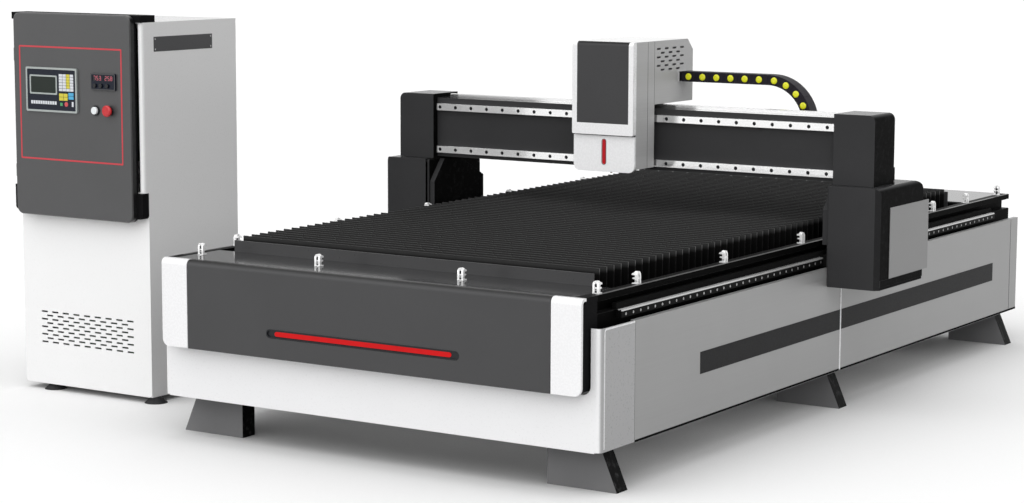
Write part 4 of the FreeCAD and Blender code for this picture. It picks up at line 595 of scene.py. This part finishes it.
class Form:
    """Collects points and faces, in the bed's millimetres, with a material for each face."""

    def __init__(self):
        self.v, self.f, self.m, self.mats = [], [], [], []

    def use(self, mat):
        mat = MATS[mat] if isinstance(mat, str) else mat
        if mat not in self.mats:
            self.mats.append(mat)
        return self.mats.index(mat)

    def add(self, points, faces, mat):
        k, i = len(self.v), self.use(mat)
        self.v += [tuple(p) for p in points]
        self.f += [tuple(k + j for j in f) for f in faces]
        self.m += [i] * len(faces)

    def box(self, x0, x1, y0, y1, z0, z1, mat, c=0.0):
        """A block whose edges are cut by c."""
        if c <= 0:
            pts = [(x, y, z) for z in (z0, z1) for y in (y0, y1) for x in (x0, x1)]
            self.add(pts, [(0, 2, 3, 1), (4, 5, 7, 6), (0, 1, 5, 4), (2, 6, 7, 3), (0, 4, 6, 2), (1, 3, 7, 5)], mat)
            return
        lo, hi = (x0, y0, z0), (x1, y1, z1)
        pts, idx = [], {}
        for corner in range(8):
            pick = [(corner >> a) & 1 for a in range(3)]
            for axis in range(3):
                p = []
                for a in range(3):
                    edge = hi[a] if pick[a] else lo[a]
                    p.append(edge if a == axis else edge + (-c if pick[a] else c))
                idx[(corner, axis)] = len(pts)
                pts.append(tuple(p))
        faces = []
        for axis in range(3):
            a, b = [q for q in range(3) if q != axis]
            for side in (0, 1):
                ring = []
                for sa, sb in ((0, 0), (1, 0), (1, 1), (0, 1)):
                    corner = (side << axis) | (sa << a) | (sb << b)
                    ring.append(idx[(corner, axis)])
                faces.append(tuple(ring) if side ^ (axis == 1) else tuple(reversed(ring)))
            for sa in (0, 1):
                for sb in (0, 1):
                    c0 = (sa << a) | (sb << b)
                    c1 = c0 | (1 << axis)
                    ring = [idx[(c0, a)], idx[(c1, a)], idx[(c1, b)], idx[(c0, b)]]
                    faces.append(tuple(ring))
        for corner in range(8):
            faces.append(tuple(idx[(corner, a)] for a in range(3)))
        self.add(pts, faces, mat)

    def prism(self, loop, axis, a, b, mat):
        """A flat outline drawn out along an axis. The outline's two numbers are the other two axes in order."""
        n = len(loop)
        pts = [turned(axis, u, v, w) for w in (a, b) for u, v in loop]
        self.add(pts, lids(n) + belt(n), mat)

    def ring(self, outer, inner, axis, a, b, mat):
        """A frame between two outlines with the same number of points."""
        n = len(outer)
        pts = [turned(axis, u, v, w) for w in (a, b) for loop in (outer, inner) for u, v in loop]
        faces = []
        for i in range(n):
            j = (i + 1) % n
            faces += [(i, j, n + j, n + i), (2 * n + i, 3 * n + i, 3 * n + j, 2 * n + j)]
            faces += [(i, 2 * n + i, 2 * n + j, j), (n + i, n + j, 3 * n + j, 3 * n + i)]
        self.add(pts, faces, mat)

    def lathe(self, centre, axis, profile, sides, mat):
        """A turned form: profile is (radius, distance along the axis), closed at both ends."""
        pts = [around(centre, axis, r, 2 * math.pi * i / sides, h) for r, h in profile for i in range(sides)]
        faces = [f for k in range(len(profile) - 1) for f in belt(sides, k * sides)]
        last = (len(profile) - 1) * sides
        self.add(pts, faces + [tuple(reversed(range(sides))), tuple(range(last, last + sides))], mat)

    def drilled(self, axis, w0, w1, edges, v0, v1, holes, r, depth, mat, top=(), bottom=(), top_mat=None,
                wall=None, floor=None, rim=0.0, back=None):
        """A bar along u with a row of blind round holes in its face at w0; edges are the borders between holes.

        top and bottom are extra (w, v) points of its section, from the face to the back."""
        wall, floor, top_mat = wall or mat, floor or mat, top_mat or mat
        d = 1 if w1 > w0 else -1
        b0, b1 = back or (v0, v1)
        quarters = (0, 0.25, 0.5, 0.75)

        def at(w, points):
            return [turned(axis, u, v, w) for u, v in points]

        def rect(ua, ub, lo, hi):
            pts = [(ua + (ub - ua) * t, lo) for t in quarters] + [(ub, lo + (hi - lo) * t) for t in quarters]
            return pts + [(ub + (ua - ub) * t, hi) for t in quarters] + [(ua, hi + (lo - hi) * t) for t in quarters]

        tops = [(w0, v1)] + list(top) + [(w1, b1)]
        lows = [(w0, v0)] + list(bottom) + [(w1, b0)]
        for i, (cu, cv) in enumerate(holes):
            ua, ub = edges[i], edges[i + 1]
            rings = [at(w0, rect(ua, ub, v0, v1)), at(w0, circle(cu, cv, r + rim, 16, -135))]
            for w in ([rim] if rim else []) + [depth]:
                rings.append(at(w0 + d * w, circle(cu, cv, r, 16, -135)))
            pts = [p for ring in rings for p in ring]
            for k in range(len(rings) - 1):
                self.add(pts, belt(16, 16 * k), mat if k == 0 else wall)
            self.add(rings[-1], [tuple(range(16))], floor)
            self.add(at(w1, rect(ua, ub, b0, b1)), [tuple(range(16))], mat)
            for section, m in ((tops, top_mat), (lows, mat)):
                for (wa, va), (wb, vb) in zip(section, section[1:]):
                    for t in quarters:
                        u0, u1 = ua + (ub - ua) * t, ua + (ub - ua) * (t + 0.25)
                        self.add(at(wa, [(u0, va), (u1, va)]) + at(wb, [(u1, vb), (u0, vb)]), [(0, 1, 2, 3)], m)
        for u in (edges[0], edges[len(holes)]):
            loop = [(w0, v0 + (v1 - v0) * t) for t in quarters] + tops[:-1]
            loop += [(w1, b1 + (b0 - b1) * t) for t in quarters] + lows[:0:-1]
            self.add([turned(axis, u, v, w) for w, v in loop], [tuple(range(len(loop)))], mat)

    def toothed(self, axis, tip, root, back, first, last, pitch, v0, v1, mat):
        """A rack along u, from first to last, whose teeth stand from root to tip along w; v is its width."""
        count = int((last - first) // pitch)
        for k in range(count):
            a = (first + last - count * pitch) / 2 + k * pitch
            outline = [(a, root), (a + pitch * 0.12, root), (a + pitch * 0.34, tip), (a + pitch * 0.66, tip),
                       (a + pitch * 0.88, root), (a + pitch, root), (a + pitch, back), (a, back)]
            pts = [turned(axis, u, v, w) for v in (v0, v1) for u, w in outline]
            faces = lids(8) + [(i, i + 1, i + 9, i + 8) for i in range(5)] + [(6, 7, 15, 14)]
            if k == 0:
                faces.append((7, 0, 8, 15))
            if k == count - 1:
                faces.append((5, 6, 14, 13))
            self.add(pts, faces, mat)

    def gear(self, centre, axis, tip, root, teeth, h0, h1, hub, bore_h, mat):
        """A spur gear with a raised hub on one side."""
        tooth = ((0.06, root), (0.33, tip), (0.67, tip), (0.94, root))
        outer = [(2 * math.pi * (k + part) / teeth, r) for k in range(teeth) for part, r in tooth]
        web = [(t, root * 0.84) for t, _ in outer]
        inner = [(t, hub) for t, _ in outer]
        n, step = len(outer), (h1 - h0) * 0.12
        rings = ((inner, h0 + step), (web, h0 + step), (web, h0), (outer, h0), (outer, h1), (web, h1),
                 (web, h1 - step), (inner, h1 - step), (inner, bore_h))
        pts = [around(centre, axis, r, t, h) for ring, h in rings for t, r in ring]
        faces = [f for k in range(len(rings) - 1) for f in belt(n, k * n)]
        last = (len(rings) - 1) * n
        self.add(pts, faces + [tuple(range(n)), tuple(reversed(range(last, last + n)))], mat)

    def make(self, name, body, slot, smooth=False, bevel=0.0, replaces=(), weld=False):
        """The object, which rides its body; bevel is the width of its rounded edges, in millimetres."""
        me = bpy.data.meshes.new(name)
        me.from_pydata([P(*p) for p in self.v], [], self.f)
        for mat in self.mats:
            me.materials.append(mat)
        me.polygons.foreach_set("material_index", self.m)
        me.validate()
        me.update()
        bm = bmesh.new()
        bm.from_mesh(me)
        if weld:
            bmesh.ops.remove_doubles(bm, verts=bm.verts, dist=1e-6)
        bmesh.ops.recalc_face_normals(bm, faces=bm.faces)
        bm.to_mesh(me)
        bm.free()
        obj = bpy.data.objects.new(name, me)
        bpy.context.scene.collection.objects.link(obj)
        if bevel:
            mod = obj.modifiers.new("soft_edges", "BEVEL")
            mod.width = bevel / 1000
            mod.limit_method = "ANGLE"
            mod.angle_limit = math.radians(40)
        if smooth:
            me.polygons.foreach_set("use_smooth", [True] * len(me.polygons))
            me.set_sharp_from_angle(angle=math.radians(38))
        if body:
            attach(obj, body)
        if replaces:
            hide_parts(*replaces)
        return obj


def rounded(u0, u1, v0, v1, r, n=5):
    """A rectangle with rounded corners, as an outline."""
    out = []
    for cu, cv, start in ((u1 - r, v1 - r, 0), (u0 + r, v1 - r, 90), (u0 + r, v0 + r, 180), (u1 - r, v0 + r, 270)):
        for i in range(n + 1):
            t = math.radians(start + 90 * i / n)
            out.append((cu + r * math.cos(t), cv + r * math.sin(t)))
    return out


def borders(centres, low, high):
    """Cell borders between a row of hole centres."""
    mids = [(a + b) / 2 for a, b in zip(centres, centres[1:])]
    return [low] + mids + [high]


# ---- cutting table
SLATS, SLAT_FIRST_Y, SLAT_PITCH = 62, 320.0, 58.5
SLAT_HALF, SLAT_THICK, SLAT_LOW, SLAT_TOP = 930.0, 6.0, 730.0, 880.0
NOTCHES, NOTCH_DEPTH = 20, 2.0


def slat_pieces():
    """Each slat is one strip with a shallow notch between broad flats, as it is cut from sheet."""
    f = Form()
    pitch = 2 * SLAT_HALF / NOTCHES
    for k in range(SLATS):
        y = SLAT_FIRST_Y + SLAT_PITCH * k
        phase = random.uniform(4.0, 80.0)
        tops = [(-SLAT_HALF, SLAT_TOP)]
        for i in range(NOTCHES):
            x = -SLAT_HALF + i * pitch + phase
            low = SLAT_TOP - NOTCH_DEPTH
            tops += [(x, SLAT_TOP), (x + 2.0, low), (x + 5.0, low), (x + 7.0, SLAT_TOP)]
        tops.append((SLAT_HALF, SLAT_TOP))
        n = len(tops)
        pts = []
        for w in (y - SLAT_THICK / 2, y + SLAT_THICK / 2):
            pts += [(x, w, SLAT_LOW) for x, _ in tops] + [(x, w, z) for x, z in tops]
        faces = []
        for a in range(n - 1):
            b, c, d = a + 1, n + a + 1, n + a
            faces += [(a, b, c, d), (2 * n + b, 2 * n + a, 2 * n + d, 2 * n + c)]
            faces += [(d, c, 2 * n + c, 2 * n + d), (b, a, 2 * n + a, 2 * n + b)]
        faces += [(0, n, 3 * n, 2 * n), (n - 1, 3 * n - 1, 4 * n - 1, 2 * n - 1)]
        f.add(pts, faces, "slat_steel")
    f.make("slat_strips", "machine", "slat_steel", replaces=("slats",))


# ---- rails, racks and pinions
def rail_pieces():
    """Linear rails with grooved sides and a row of counterbored holes."""
    f = Form()
    first, last = BED_RAIL_Y
    z, low, high = 717.5, 705.0, 738.0
    count, pitch = 66, 60.0
    ys = [first + (last - first - pitch * (count - 1)) / 2 + pitch * i for i in range(count)]
    for s in (1, -1):
        # the face is painted shade, the top edge a painted highlight, and the holes' walls and floors painted shade
        f.drilled("x", s * 1100.0, s * 1075.0, borders(ys, first, last), low, 731.5, [(y, z) for y in ys], 6.8, 6.0,
                  "rail_shade",
                  top=((s * 1096.5, high), (s * 1090.5, high), (s * 1087.5, high - 3.5), (s * 1084.5, high)),
                  bottom=((s * 1091.5, low), (s * 1087.5, low + 4.0), (s * 1083.5, low)), top_mat="rail_lit_edge",
                  wall="button_dark", floor="button_dark", back=(low, high))
        bolt = [(6.2, 0), (6.2, s * 4.0), (5.6, s * 4.8), (2.8, s * 4.8), (2.6, s * 2.6)]
        for y in ys:
            f.lathe((s * 1094.5, y, z), "x", bolt, 12, "bolt_steel")
    f.make("bed_rail_bars", "machine", "rail_steel", replaces=("bed_rails",), weld=True)

    f = Form()
    # the holes are stepped in from both ends, and the two rows meet in the middle
    count, pitch, half, width = 12, 94.9, 1119.0, 34
    xs = sorted([1083.0 - pitch * i for i in range(count)] + [-1096.0 + pitch * i for i in range(count)])
    plug = [(6.4, 0), (6.4, -1.8), (5.6, -2.6), (3.2, -2.6), (3.0, -0.8)]
    for z in (1105.0, 1322.0):
        mid, top = z + width / 2, z + width
        # the holes' walls and floors are dark: painted shade in the holes, around the dark plugs
        f.drilled("y", 2120.0, 2140.0, borders(xs, -half, half), z, top, [(x, mid) for x in xs], 8.2, 7.0,
                  "rail_steel", top=((2127.5, top), (2130, top - 3), (2132.5, top)),
                  bottom=((2127.5, z), (2130, z + 3), (2132.5, z)), wall="button_dark", floor="button_dark", rim=0.8)
        for x in xs:
            f.lathe((x, 2126.8, mid), "y", plug, 12, "button_dark")
    f.make("beam_rail_bars", "gantry", "rail_steel", replaces=("beam_rails",), weld=True)


def rack_pieces():
    """Racks; each one's pitch is that of the pinion that rolls on it."""
    f = Form()
    for s in (1, -1):
        f.toothed("x", s * 1078.0, s * 1073.8, s * 1054.0, *BED_RAIL_Y, 6.3146, 738.0, 764.0, "rack_steel")
    f.make("bed_rack_bars", "machine", "rack_steel", replaces=("bed_racks",), weld=True)
    f = Form()
    f.toothed("z", 1403.0, 1398.8, 1385.0, -1100.0, 1100.0, 6.346, 2215.0, 2240.0, "rail_steel")
    f.make("beam_rack_bar", "gantry", "rack_steel", replaces=("beam_rack",), weld=True)


def pinion_pieces():
    """Each pinion with its shaft, on the centre of its CAD node."""
    for s, side in ((1, "right"), (-1, "left")):
        f = Form()
        c = (s * 1138.3, 2294.5, 0.0)
        f.gear(c, "z", 59.6, 55.4, 60, 740.0, 762.0, 24.0, 772.0, "gear_steel")
        f.lathe(c, "z", [(10, 760.0), (10, 820.5)], 24, "gear_steel")
        f.make("y_gear_" + side, "y_pinion_" + side, "rack_steel", replaces=("y_pinion_" + side,))
    f = Form()
    c = (0.0, 0.0, 1433.3)
    f.gear(c, "y", 29.8, 25.8, 30, 2216.5, 2238.5, 14.0, 2240.5, "gear_steel")
    f.lathe(c, "y", [(9, 2238.0), (9, 2263.5)], 24, "gear_steel")
    f.make("x_gear", "x_pinion", "rack_steel", replaces=("x_pinion",))


# ---- link chain
CHAIN_Y0, CHAIN_Y1 = 2340.0, 2420.0
BEND_X, BEND_Z, BEND_RADIUS = 660.0, 1319.5, 212.5
LINK, BEND_LINKS = 77.0, 10


def straight(z):
    return lambda s, v: (s, z + v)


def curved(s, v):
    """The point of the bend at distance s along its middle and v outside it."""
    t = s / BEND_RADIUS
    return BEND_X + (BEND_RADIUS + v) * math.sin(t), BEND_Z + (BEND_RADIUS + v) * math.cos(t)


def chain_link(f, at, s0, s1, steps, plug_at=None):
    """One link that follows at(distance, offset): side plates, lids above and below, and a plug."""
    def band(a, b, v0, v1, y0, y1):
        us = [a + (b - a) * i / steps for i in range(steps + 1)]
        f.prism([at(u, v1) for u in us] + [at(u, v0) for u in reversed(us)], "y", y0, y1, "chain_plastic")

    for outer, inner in (((CHAIN_Y0 + 1.2, CHAIN_Y0 + 8), (CHAIN_Y0 + 2.4, CHAIN_Y0 + 9)),
                         ((CHAIN_Y1 - 8, CHAIN_Y1 - 1.2), (CHAIN_Y1 - 9, CHAIN_Y1 - 2.4))):
        band(s0 + 0.7, s1 - 0.7, -24.6, 24.6, *outer)
        band(s0 - 0.8, s1 + 0.8, -23.4, 23.4, *inner)
    for v0, v1 in ((21.5, 24.9), (-24.9, -21.5)):
        band(s0 + 0.7, s1 - 0.7, v0, v1, CHAIN_Y0 + 7, CHAIN_Y1 - 7)
    for v0, v1 in ((20.5, 23.6), (-23.6, -20.5)):
        band(s0 - 0.8, s1 + 0.8, v0, v1, CHAIN_Y0 + 8, CHAIN_Y1 - 8)
    if plug_at is not None:
        px, pz = at(plug_at, 0.0)
        for y, s in ((CHAIN_Y0 + 1.2, -1), (CHAIN_Y1 - 1.2, 1)):
            f.lathe((px, y, pz), "y", [(19.0, 0), (19.0, s * 0.9), (17.4, s * 1.2), (17.2, s * 0.6)], 28,
                    "chain_plastic")
            f.lathe((px, y, pz), "y", [(16.2, 0), (16.2, s * 2.6), (15.0, s * 3.6), (6.0, s * 4.0), (5.2, s * 3.2),
                                       (4.4, s * 3.2), (3.8, s * 3.8), (0.4, s * 3.9)], 28, "plug_yellow")


def chain_pieces():
    """The two straight runs and the bend; straps close the runs where they meet the head, the bend and the gantry."""
    z_up, z_low = 1532.0, 1107.0

    def strap(f, x0, x1, z, half=19.0, inset=10.5):
        """A flat bar, by default inside the hollow links."""
        f.prism([(x0, z - half), (x1, z - half), (x1, z + half), (x0, z + half)], "y", CHAIN_Y0 + inset,
                CHAIN_Y1 - inset, "chain_plastic")

    def run(name, z, seams, plugs):
        """A straight run of links between seams."""
        f = Form()
        for a, b, plug in zip(seams, seams[1:], plugs):
            chain_link(f, straight(z), a, b, 1, plug)
        return f.make(name, None, "chain_plastic", smooth=True)

    f = Form()
    strap(f, 176.0, 178.4, z_up, 24.0, 0.5)
    strap(f, 178.5, 214.0, z_up)
    f.make("chain_head_end", "head", "chain_plastic")
    f = Form()
    strap(f, 628.0, 664.0, z_up)
    f.make("chain_bend_end", "chain_bend", "chain_plastic")
    seams = [188.5 + LINK * k for k in range(6)] + [658.7]
    o = run("chain_upper_links", z_up, seams, [227.0 + LINK * k for k in range(6)])
    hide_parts("chain_upper_run")
    P(135, 2380, z_up)
    P(701, 2380, z_up)
    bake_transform(o)

    f = Form()
    step = math.pi * BEND_RADIUS / BEND_LINKS
    starts = [0.9] + [step * i for i in range(1, BEND_LINKS)]
    ends = starts[1:] + [step * BEND_LINKS - 0.9]
    for i, (a, b) in enumerate(zip(starts, ends)):
        chain_link(f, curved, a, b, 5, step * (i + 0.5))
    f.make("chain_bend_links", "chain_bend", "chain_plastic", replaces=("chain_bend",), smooth=True)

    f = Form()
    strap(f, 200.6, 275.0, z_low)
    f.make("chain_fixed_end", "gantry", "chain_plastic")
    # the bend moves half as far as the head
    seams = [234.0] + [274.5 + LINK * k for k in range(5)] + [657.7]
    o = run("chain_lower_links", z_low, seams, [None] * 6)
    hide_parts("chain_lower_run")
    P(93.6, 2380, z_low)
    P(1223.6, 2380, z_low)
    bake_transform(o)


# ---- sheet stops
CHEEK = ((8.0, 0.4), (8.0, 38.0), (7.0, 42.0), (4.4, 45.4), (1.0, 47.2), (-3.0, 47.8), (-9.0, 47.4), (-15.0, 45.6),
         (-19.0, 42.6), (-20.6, 39.6), (-20.0, 37.6), (-6.0, 36.4), (-5.0, 34.4), (-5.0, 27.6), (-15.0, 26.6),
         (-17.0, 23.6), (-15.0, 20.8), (-5.0, 19.8), (-5.0, 7.6), (-8.0, 5.6), (-18.0, 5.0), (-18.0, 0.4))
ARCH = ((-14.8, 38.0), (-14.6, 42.0), (-13.0, 46.4), (-10.0, 49.8), (-5.6, 52.2), (0.0, 53.0), (5.6, 52.2),
        (10.0, 49.8), (13.0, 46.4), (14.6, 42.0), (14.8, 38.0), (4.6, 38.0), (3.8, 40.6), (0.0, 42.0), (-3.8, 40.6),
        (-4.6, 38.0))


def stop_pieces():
    """Chromed stops: two hooked cheeks with a pin and a roller between them, on a foot; a dark block between the
    cheeks is painted shade in the slot there.
    """
    f = Form()

    def stop(x, y, turn):
        ca, sa = math.cos(math.radians(turn)), math.sin(math.radians(turn))

        def put(u, w, z):
            return (x + u * ca - w * sa, y + u * sa + w * ca, DECK_TOP + z)

        def slab(loop, w0, w1, mat="stop_chrome"):
            """An outline in the stop's length and height, drawn out over its width."""
            f.add([put(u, w, z) for w in (w0, w1) for u, z in loop], lids(len(loop)) + belt(len(loop)), mat)

        def block(u0, u1, z0, z1, half, mat="stop_chrome"):
            slab([(u1, z0), (u1, z1), (u0, z1), (u0, z0)], -half, half, mat)

        for w0, w1 in ((-14.5, -5.6), (5.6, 14.5)):
            slab(CHEEK, w0, w1)
        block(-19.0, 9.0, 0.4, 4.4, 15.0)
        n = len(ARCH)
        f.add([put(u, w, z) for u in (-9.0, 6.0) for w, z in ARCH], bent_lids(n) + belt(n), "stop_chrome")
        block(-9.0, 7.0, 21.0, 27.0, 6.0)
        # painted shade: a dark block fills the slot between the cheeks
        block(-3.0, 3.0, 4.0, 38.5, 5.7, "button_dark")
        slab(circle(0.5, 14.0, 3.6, 14), -15.2, 15.2, "bolt_steel")

    for y in [420.0 + 760.0 * k for k in range(5)] + [3900.0]:
        stop(1052.0, y, 0)
        stop(-1052.0, y, 180)
    for x in (-989.0, -341.0, 399.0, 1050.0):
        stop(x, 96.0, -90)
    for x in (-1042.0, -347.0, 347.0, 1042.0):
        stop(x, 4354.0, 90)
    f.make("sheet_stops", "machine", "stop_chrome", replaces=("edge_stops",), smooth=True)


# ---- bed, head and cabinet trim
# Outline of a white band along the skirt return's front and top edges: a painted highlight on its rounded edges, over
# the return's painted shade.
LIT_EDGE_BAND = ((25.0, 200.0), (25.0, 676.0), (29.0, 684.0), (38.0, 688.6), (268.0, 688.6), (268.0, 681.0), (40.0, 681.0),
        (34.0, 678.0), (32.0, 673.0), (32.0, 200.0))


def bed_trim():
    """Lining of the light's slot, seams of the side panels, a dark strip at the panels' foot that is painted shade, a
    pale strip on the side beams' tops that is a painted highlight, and a white band on the skirt return's front and
    top edges that is a painted highlight.
    """
    def slot(x, z0, z1):
        return rounded(-x, x, z0, z1, (z1 - z0) / 2 - 0.01, 10)

    f = Form()
    f.ring(slot(499.5, 510.5, 549.5), slot(494, 516, 544), "y", -68.5, -60.9, "button_dark")
    f.ring(slot(494.5, 515.5, 544.5), slot(457.5, 518.5, 541.5), "y", -61.9, -60.9, "button_dark")
    f.make("light_slot_lining", "machine", "panel_black", smooth=True)

    f = Form()
    for s in (1, -1):
        f.box(*pair(s, SKIN_X, SKIN_X + 1.7), 2200.0, 2212.0, 190.0, 689.0, "white_bright")
        f.box(*pair(s, SKIN_X, SKIN_X + 0.6), 4344.5, 4347.5, 197.0, 686.0, "frame_paint")
        # painted shade: a dark strip along the foot of each side panel, for the shade line under its bottom edge
        f.box(*pair(s, SKIN_X - 0.3, SKIN_X + 0.9), 272.5, PANEL_REAR_Y, 186.6, 196.0, "comb_dark")
        # painted highlight: a pale strip along the side beams' top flange
        f.box(*pair(s, 1060.0, 1074.4), 62.0, PANEL_REAR_Y - 1.5, DECK_TOP - 0.2, DECK_TOP + 0.3, "flange_edge_highlight")
    f.make("side_seams", "machine", "white_skin")

    f = Form()
    for s in (1, -1):
        n = len(LIT_EDGE_BAND)
        f.add([(s * x, y, z) for x in (SKIN_X - 0.4, SKIN_X + 0.9) for y, z in LIT_EDGE_BAND], bent_lids(n) + belt(n),
              "white_bright")
    f.make("skirt_lit_edges", "machine", "white_skin", smooth=True, bevel=0.4)


def head_trim():
    """Seams on the head's sides, and the rim of its light."""
    f = Form()
    for s in (1, -1):
        for y0, y1, z0 in ((2038.6, 2040.6, 1106.0), (2102.6, 2104.2, 1409.0)):
            f.box(*pair(s, HEAD_HALF, HEAD_HALF + 0.5), y0, y1, z0, 1711.0, "plate_dark")
    f.make("head_seams", "head", "black_paint")
    f = Form()
    f.ring(rounded(-12.5, 12.5, 1121.5, 1246.5, 12.4, 8), rounded(-10.2, 10.2, 1123.8, 1244.2, 10.1, 8), "y",
           1916.4, 1918.6, "plate_dark")
    f.make("head_light_rim", "head", "black_paint", smooth=True)


def cabinet_trim():
    """A blank plate with four screws on the cabinet's side."""
    f = Form()
    f.box(CABINET_X, CABINET_X + 1.0, 545.0, 970.0, 1672.0, 1742.0, "plate_dark", 0.3)
    for y in (556.0, 959.0):
        for z in (1683.0, 1731.0):
            f.lathe((CABINET_X + 0.8, y, z), "x", [(4, 0), (4, 0.7), (3.2, 1.2), (1.4, 1.2), (1.2, 0.6)], 12,
                    "bolt_steel")
    f.make("side_nameplate", "machine", "black_paint")


# ---- console
SEGMENTS = {2: "abged", 3: "abgcd", 5: "afgcd", 7: "abc", 8: "abcdefg"}


def digit(f, x, z, w, h, y, mat, number):
    """A seven-segment figure on a read-out."""
    t = 2.0
    left, right = (x - w / 2, x - w / 2 + t), (x + w / 2 - t, x + w / 2)
    middle = (left[1], right[0])
    upper, lower = (z + t / 2, z + h / 2 - t), (z - h / 2 + t, z - t / 2)
    spots = {"a": (*middle, z + h / 2 - t, z + h / 2), "g": (*middle, z - t / 2, z + t / 2),
             "d": (*middle, z - h / 2, z - h / 2 + t), "f": (*left, *upper), "b": (*right, *upper),
             "e": (*left, *lower), "c": (*right, *lower)}
    for name in SEGMENTS[number]:
        x0, x1, z0, z1 = spots[name]
        f.box(x0, x1, y, y + 0.4, z0, z1, mat)


def console_pieces():
    """Red outline, controller face, meter face and button collars, each on the door."""
    def inset(x0, x1, z0, z1, by, r, n=5):
        return rounded(x0 + by, x1 - by, z0 + by, z1 - by, r, n)

    f = Form()
    door = (-2381.0, -1729.0, 1142.0, 1687.0)
    f.ring(inset(*door, 0.0, 6, 4), inset(*door, 8.0, 3, 4), "y", DOOR_Y - 0.5, DOOR_Y + 0.1, "trim_red")
    f.make("door_outline", "door", "button_red")

    f = Form()
    cx, cz = -2168.0, 1480.0
    L, T = cx - 163, cz + 106
    face = (L, cx + 163, cz - 106, T)
    f.ring(inset(*face, 0, 8), inset(*face, 9, 4), "y", 409.6, DOOR_Y, "panel_silver")
    f.prism(inset(*face, 5, 5), "y", 412.0, 419.6, "panel_black")
    sx, sz = L + 111.5, T - 82.8
    f.ring(rounded(sx - 87.5, sx + 87.5, sz - 45.8, sz + 45.8, 5), rounded(sx - 80, sx + 80, sz - 38.5, sz + 38.5, 3),
           "y", 410.6, 412.4, "panel_silver")
    f.prism(rounded(sx - 82, sx + 82, sz - 40.5, sz + 40.5, 3), "y", 411.7, 413.0, "screen_dark")

    def key(x0, x1, z0, z1, mat):
        """A key, placed from the face's upper left corner."""
        f.box(L + x0, L + x1, 410.7, 412.4, T - z1, T - z0, mat, 0.6)

    for i in range(11):
        key(30 + 15.2 * i, 42.5 + 15.2 * i, 160, 176, "key_white")
    for row in range(6):
        z = 29 + 13.7 * row
        for col in range(4):
            mat = "key_yellow" if col == 2 and row < 5 else "key_white"
            key(212 + 23.4 * col, 233.6 + 23.4 * col, z, z + 12.3, mat)
    for row in range(2):
        for x0, x1 in ((212, 239), (241, 266)):
            key(x0, x1, 121 + 17.5 * row, 137 + 17.5 * row, "key_yellow")
        key(271, 304, 116 + 16.5 * row, 131 + 16.5 * row, "key_blue")
    key(218, 233, 165, 180, "key_green")
    f.lathe((L + 257.0, 412.3, T - 171.5), "y", [(11, 0), (11, -1.4), (9.8, -2.0)], 20, "key_red")
    key(292, 303, 158, 182, "key_white")
    f.make("controller_face", "door", "panel_black", replaces=("cnc_panel",))

    f = Form()
    mx, mz = -1840.0, 1530.0
    meter = (mx - 76, mx + 76, mz - 39, mz + 39)
    f.ring(inset(*meter, 0, 5), inset(*meter, 5, 3), "y", 409.4, 410.3, "plate_dark")
    for s, figures in ((-1, (7, 5, 3)), (1, (2, 5, 8))):
        u = mx + s * 35
        f.box(u - 27, u + 27, 411.3, 412.2, mz + 6, mz + 28, "button_dark")
        for d, number in enumerate(figures):
            digit(f, u - 17 + 17 * d, mz + 17, 12.0, 21.0, 411.0, "digit_red", number)
    f.make("meter_face", "door", "panel_black")

    f = Form()
    for x, z, r in ((-1895.0, 1393.0, 18.0), (-1807.0, 1395.0, 16.0)):
        f.ring(circle(x, z, r + 7, 28), circle(x, z, r + 0.8, 28), "y", 414.8, DOOR_Y, "button_dark")
    f.make("button_collars", "door", "button_dark", smooth=True, bevel=1.0)


slat_pieces()
rail_pieces()
rack_pieces()
pinion_pieces()
chain_pieces()
stop_pieces()
bed_trim()
head_trim()
console_pieces()
cabinet_trim()
